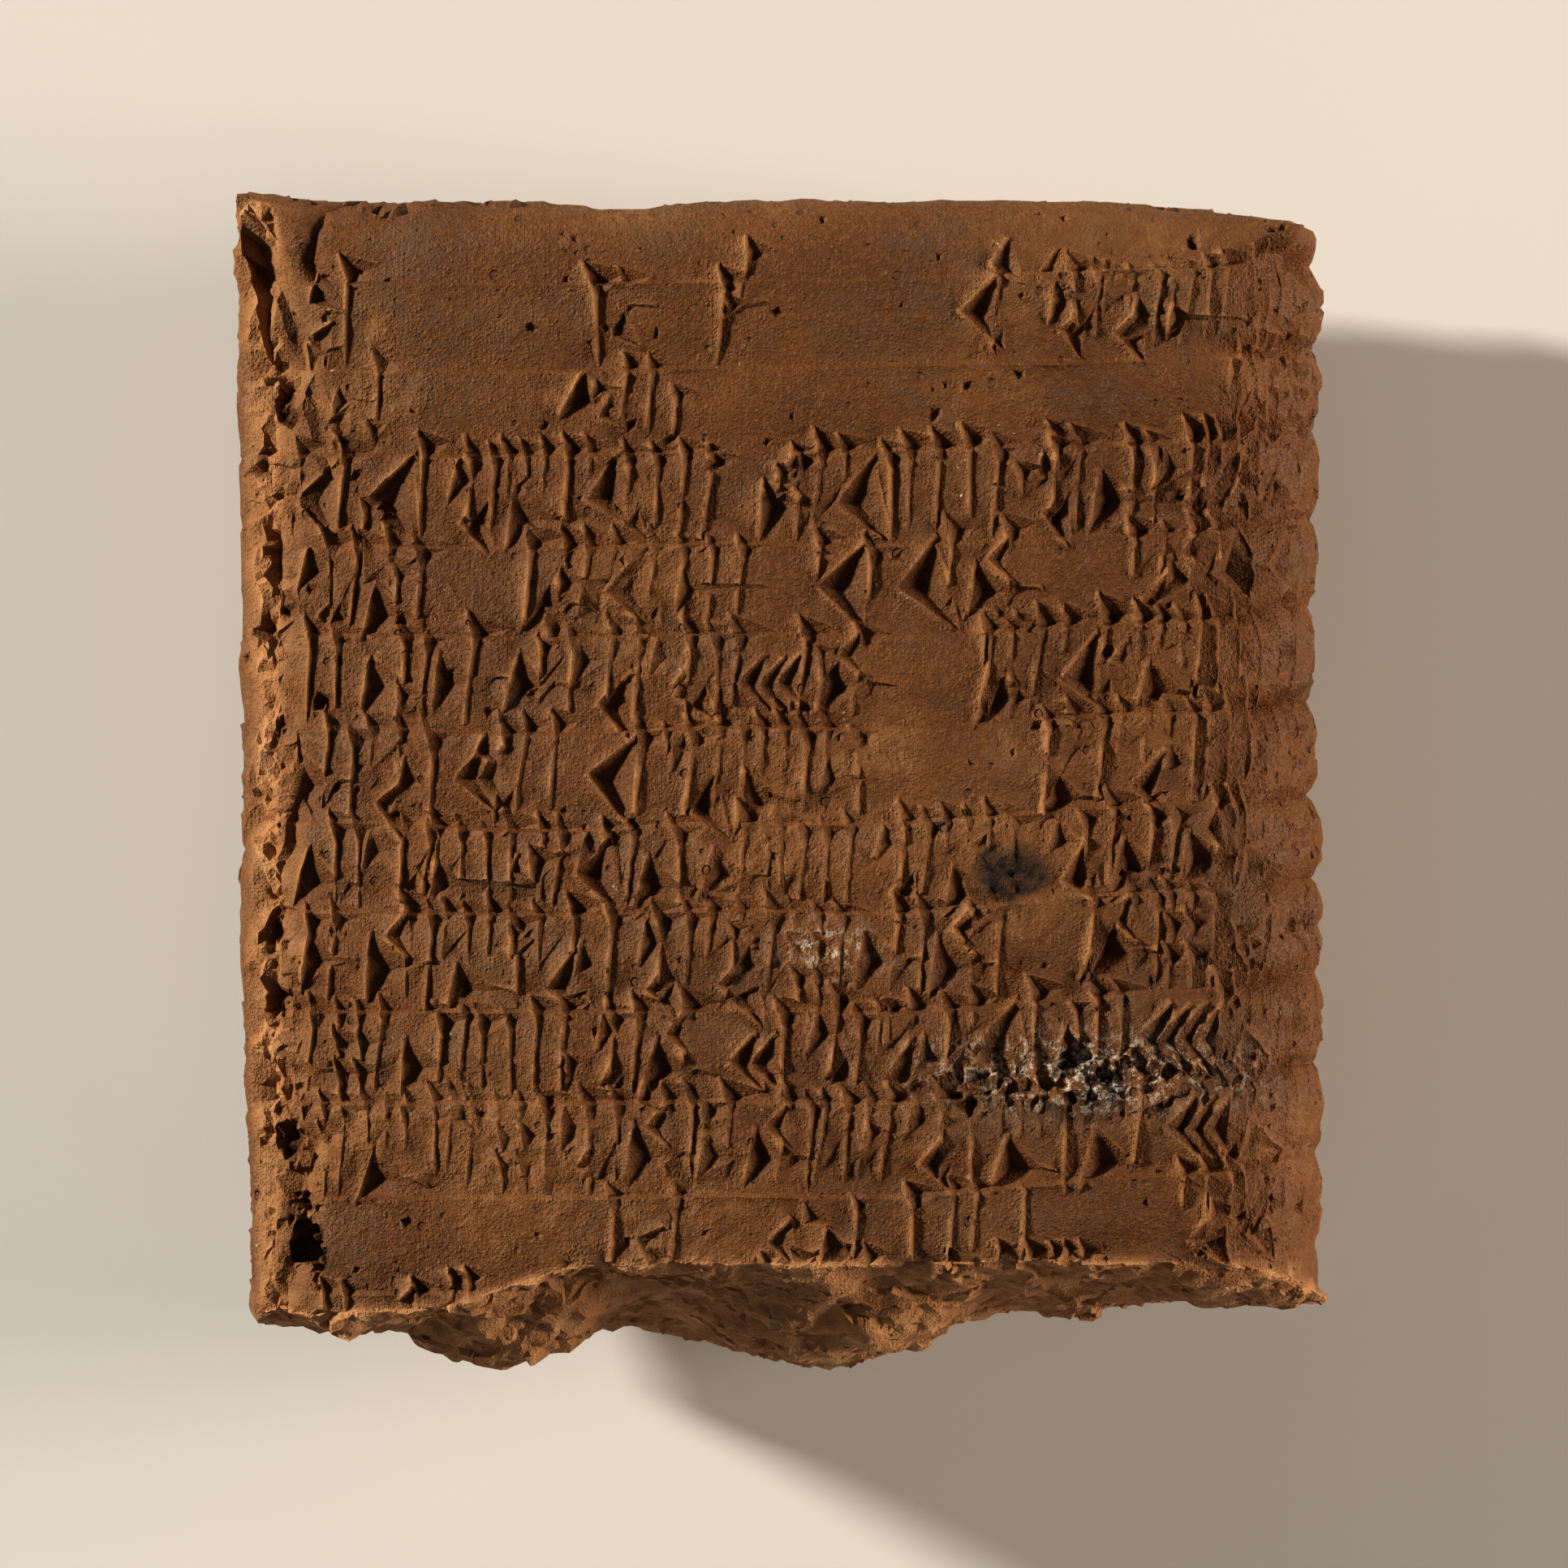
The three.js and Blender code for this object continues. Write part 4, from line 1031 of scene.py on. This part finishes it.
rough = ramp(middle, [(0.3, (0.78, 0.78, 0.78)), (0.7, (0.58, 0.58, 0.58))])
rough = mixc(attribute("fresh_clay_and_highlight"), rough, (0.85, 0.85, 0.85))
rough = mixc(math_node("MULTIPLY", attribute("sheen"), grey_ramp(tex(1.6, 3.0, 0.6), 0.4, 0.6)), rough, (0.50, 0.50, 0.50))
rough = mixc(salt_m, rough, (0.95, 0.95, 0.95))
rough = mixc(soot_m, rough, (0.95, 0.95, 0.95))

# grain: coarse sand, fine sand and pinholes of many sizes
holes = node("ShaderNodeTexVoronoi")
holes.inputs["Scale"].default_value = 1.0 / 1.7
link(MM, holes.inputs["Vector"])
hole_size = node("ShaderNodeSeparateColor")
link(holes.outputs["Color"], hole_size.inputs["Color"])
size_of = math_node("MULTIPLY", math_node("POWER", hole_size.outputs["Red"], 3.0), 0.24)
hole = math_node("MULTIPLY", math_node("SUBTRACT", math_node("ADD", size_of, 0.02), holes.outputs["Distance"]), 14.0, clamp=True)
# painted shade in the pinholes
base = mixc(math_node("MULTIPLY", hole, 0.55), base, (0.07, 0.03, 0.012))
def grains(size, keep):
    """Rounded sand grains standing proud, `keep` of them out of one."""
    v = node("ShaderNodeTexVoronoi")
    v.inputs["Scale"].default_value = 1.0 / size
    link(MM, v.inputs["Vector"])
    c = node("ShaderNodeSeparateColor")
    link(v.outputs["Color"], c.inputs["Color"])
    dome = math_node("SUBTRACT", 1.0, math_node("MULTIPLY", v.outputs["Distance"], 1.7), clamp=True)
    tall = math_node("MULTIPLY", math_node("SUBTRACT", c.outputs["Red"], 1.0 - keep, clamp=True), 1.0 / keep)
    return math_node("MULTIPLY", dome, tall)


height = math_node("MULTIPLY", tex(0.9, 3.0, 0.6), 0.55)
height = math_node("ADD", height, math_node("MULTIPLY", grains(0.30, 0.6), 0.42))
height = math_node("ADD", height, math_node("MULTIPLY", grains(0.15, 0.7), 0.34))
height = math_node("ADD", height, math_node("MULTIPLY", tex(0.2, 1.0, 0.5), 0.35))
height = math_node("SUBTRACT", height, math_node("MULTIPLY", hole, 1.1))
height = math_node("ADD", height, math_node("MULTIPLY", tex(1.4, 2.0, 0.5), math_node("ADD", math_node("MULTIPLY", attribute("worn"), 2.0), 0.4)))
bump = node("ShaderNodeBump")
bump.inputs["Strength"].default_value = 0.8
bump.inputs["Distance"].default_value = 0.00033
link(height, bump.inputs["Height"])

shader = node("ShaderNodeBsdfPrincipled")
shader.inputs["Specular IOR Level"].default_value = 0.24
link(base, shader.inputs["Base Color"])
link(rough, shader.inputs["Roughness"])
link(bump.outputs["Normal"], shader.inputs["Normal"])
out = node("ShaderNodeOutputMaterial")
link(shader.outputs["BSDF"], out.inputs["Surface"])
result.materials.clear()
result.materials.append(mat)

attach(tablet, "root")
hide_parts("tablet")

# =====================================================================================================
# 9. Floor, light, camera
# =====================================================================================================
fl = bpy.data.meshes.new("floor")
R = 5.5
ring = [(R * math.cos(2 * math.pi * k / 64), R * math.sin(2 * math.pi * k / 64), 0.0) for k in range(64)]
fl.from_pydata(ring, [], [list(range(64))])
floor = bpy.data.objects.new("floor", fl)
floor.location.z = -0.00005
bpy.context.scene.collection.objects.link(floor)
fm = bpy.data.materials.new("pale_floor")
fm.use_nodes = True
fb = fm.node_tree.nodes["Principled BSDF"]
fb.inputs["Base Color"].default_value = (0.74, 0.72, 0.69, 1)
fb.inputs["Roughness"].default_value = 0.9
fb.inputs["Specular IOR Level"].default_value = 0.1
fl.materials.append(fm)

centre = (cad_lo + cad_hi) / 2


def area(name, direction, distance, size, power, colour):
    data = bpy.data.lights.new(name, "AREA")
    data.shape = "DISK"
    data.size = size
    data.energy = power
    data.color = colour
    ob = bpy.data.objects.new(name, data)
    dvec = Vector(direction).normalized()
    ob.location = centre + dvec * distance
    ob.rotation_euler = (-dvec).to_track_quat("-Z", "Y").to_euler()
    ob.visible_camera = False
    bpy.context.scene.collection.objects.link(ob)
    return ob


area("key", (-0.87, 0.38, 0.325), 2.4, 0.22, 97.0, (1.0, 0.94, 0.83))
area("rim", (0.96, 0.06, 0.20), 1.1, 0.36, 15.0, (1.0, 0.86, 0.70))
area("top_fill", (0.0, -0.3, 1.0), 1.6, 1.2, 0.08, (1.0, 0.97, 0.93))

world = bpy.data.worlds.new("studio")
bpy.context.scene.world = world
world.use_nodes = True
bg = world.node_tree.nodes["Background"]
bg.inputs["Color"].default_value = (0.93, 0.91, 0.88, 1)
bg.inputs["Strength"].default_value = 0.10

cam_data = bpy.data.cameras.new("camera")
cam_data.sensor_width = 36.0
cam_data.lens = 250.0
camera = bpy.data.objects.new("camera", cam_data)
bpy.context.scene.collection.objects.link(camera)
normal = Vector((0, math.sin(TILT), math.cos(TILT)))
up = Vector((0, math.cos(TILT), -math.sin(TILT)))
right = up.cross(normal)
FRAME_WIDTH = 0.112
aim = Vector(CAD_SHIFT) * 0.001   # the middle of the written face
dist = FRAME_WIDTH * cam_data.lens / cam_data.sensor_width
camera.location = aim + normal * dist
camera.matrix_world = Matrix.Translation(aim + normal * dist) @ Matrix((right, up, normal)).transposed().to_4x4()
cam_data.clip_start = 0.01
cam_data.clip_end = 20.0
bpy.context.scene.camera = camera

scene = bpy.context.scene
scene.view_settings.view_transform = "Standard"
scene.view_settings.look = "Medium High Contrast"
scene.view_settings.exposure = 0.0
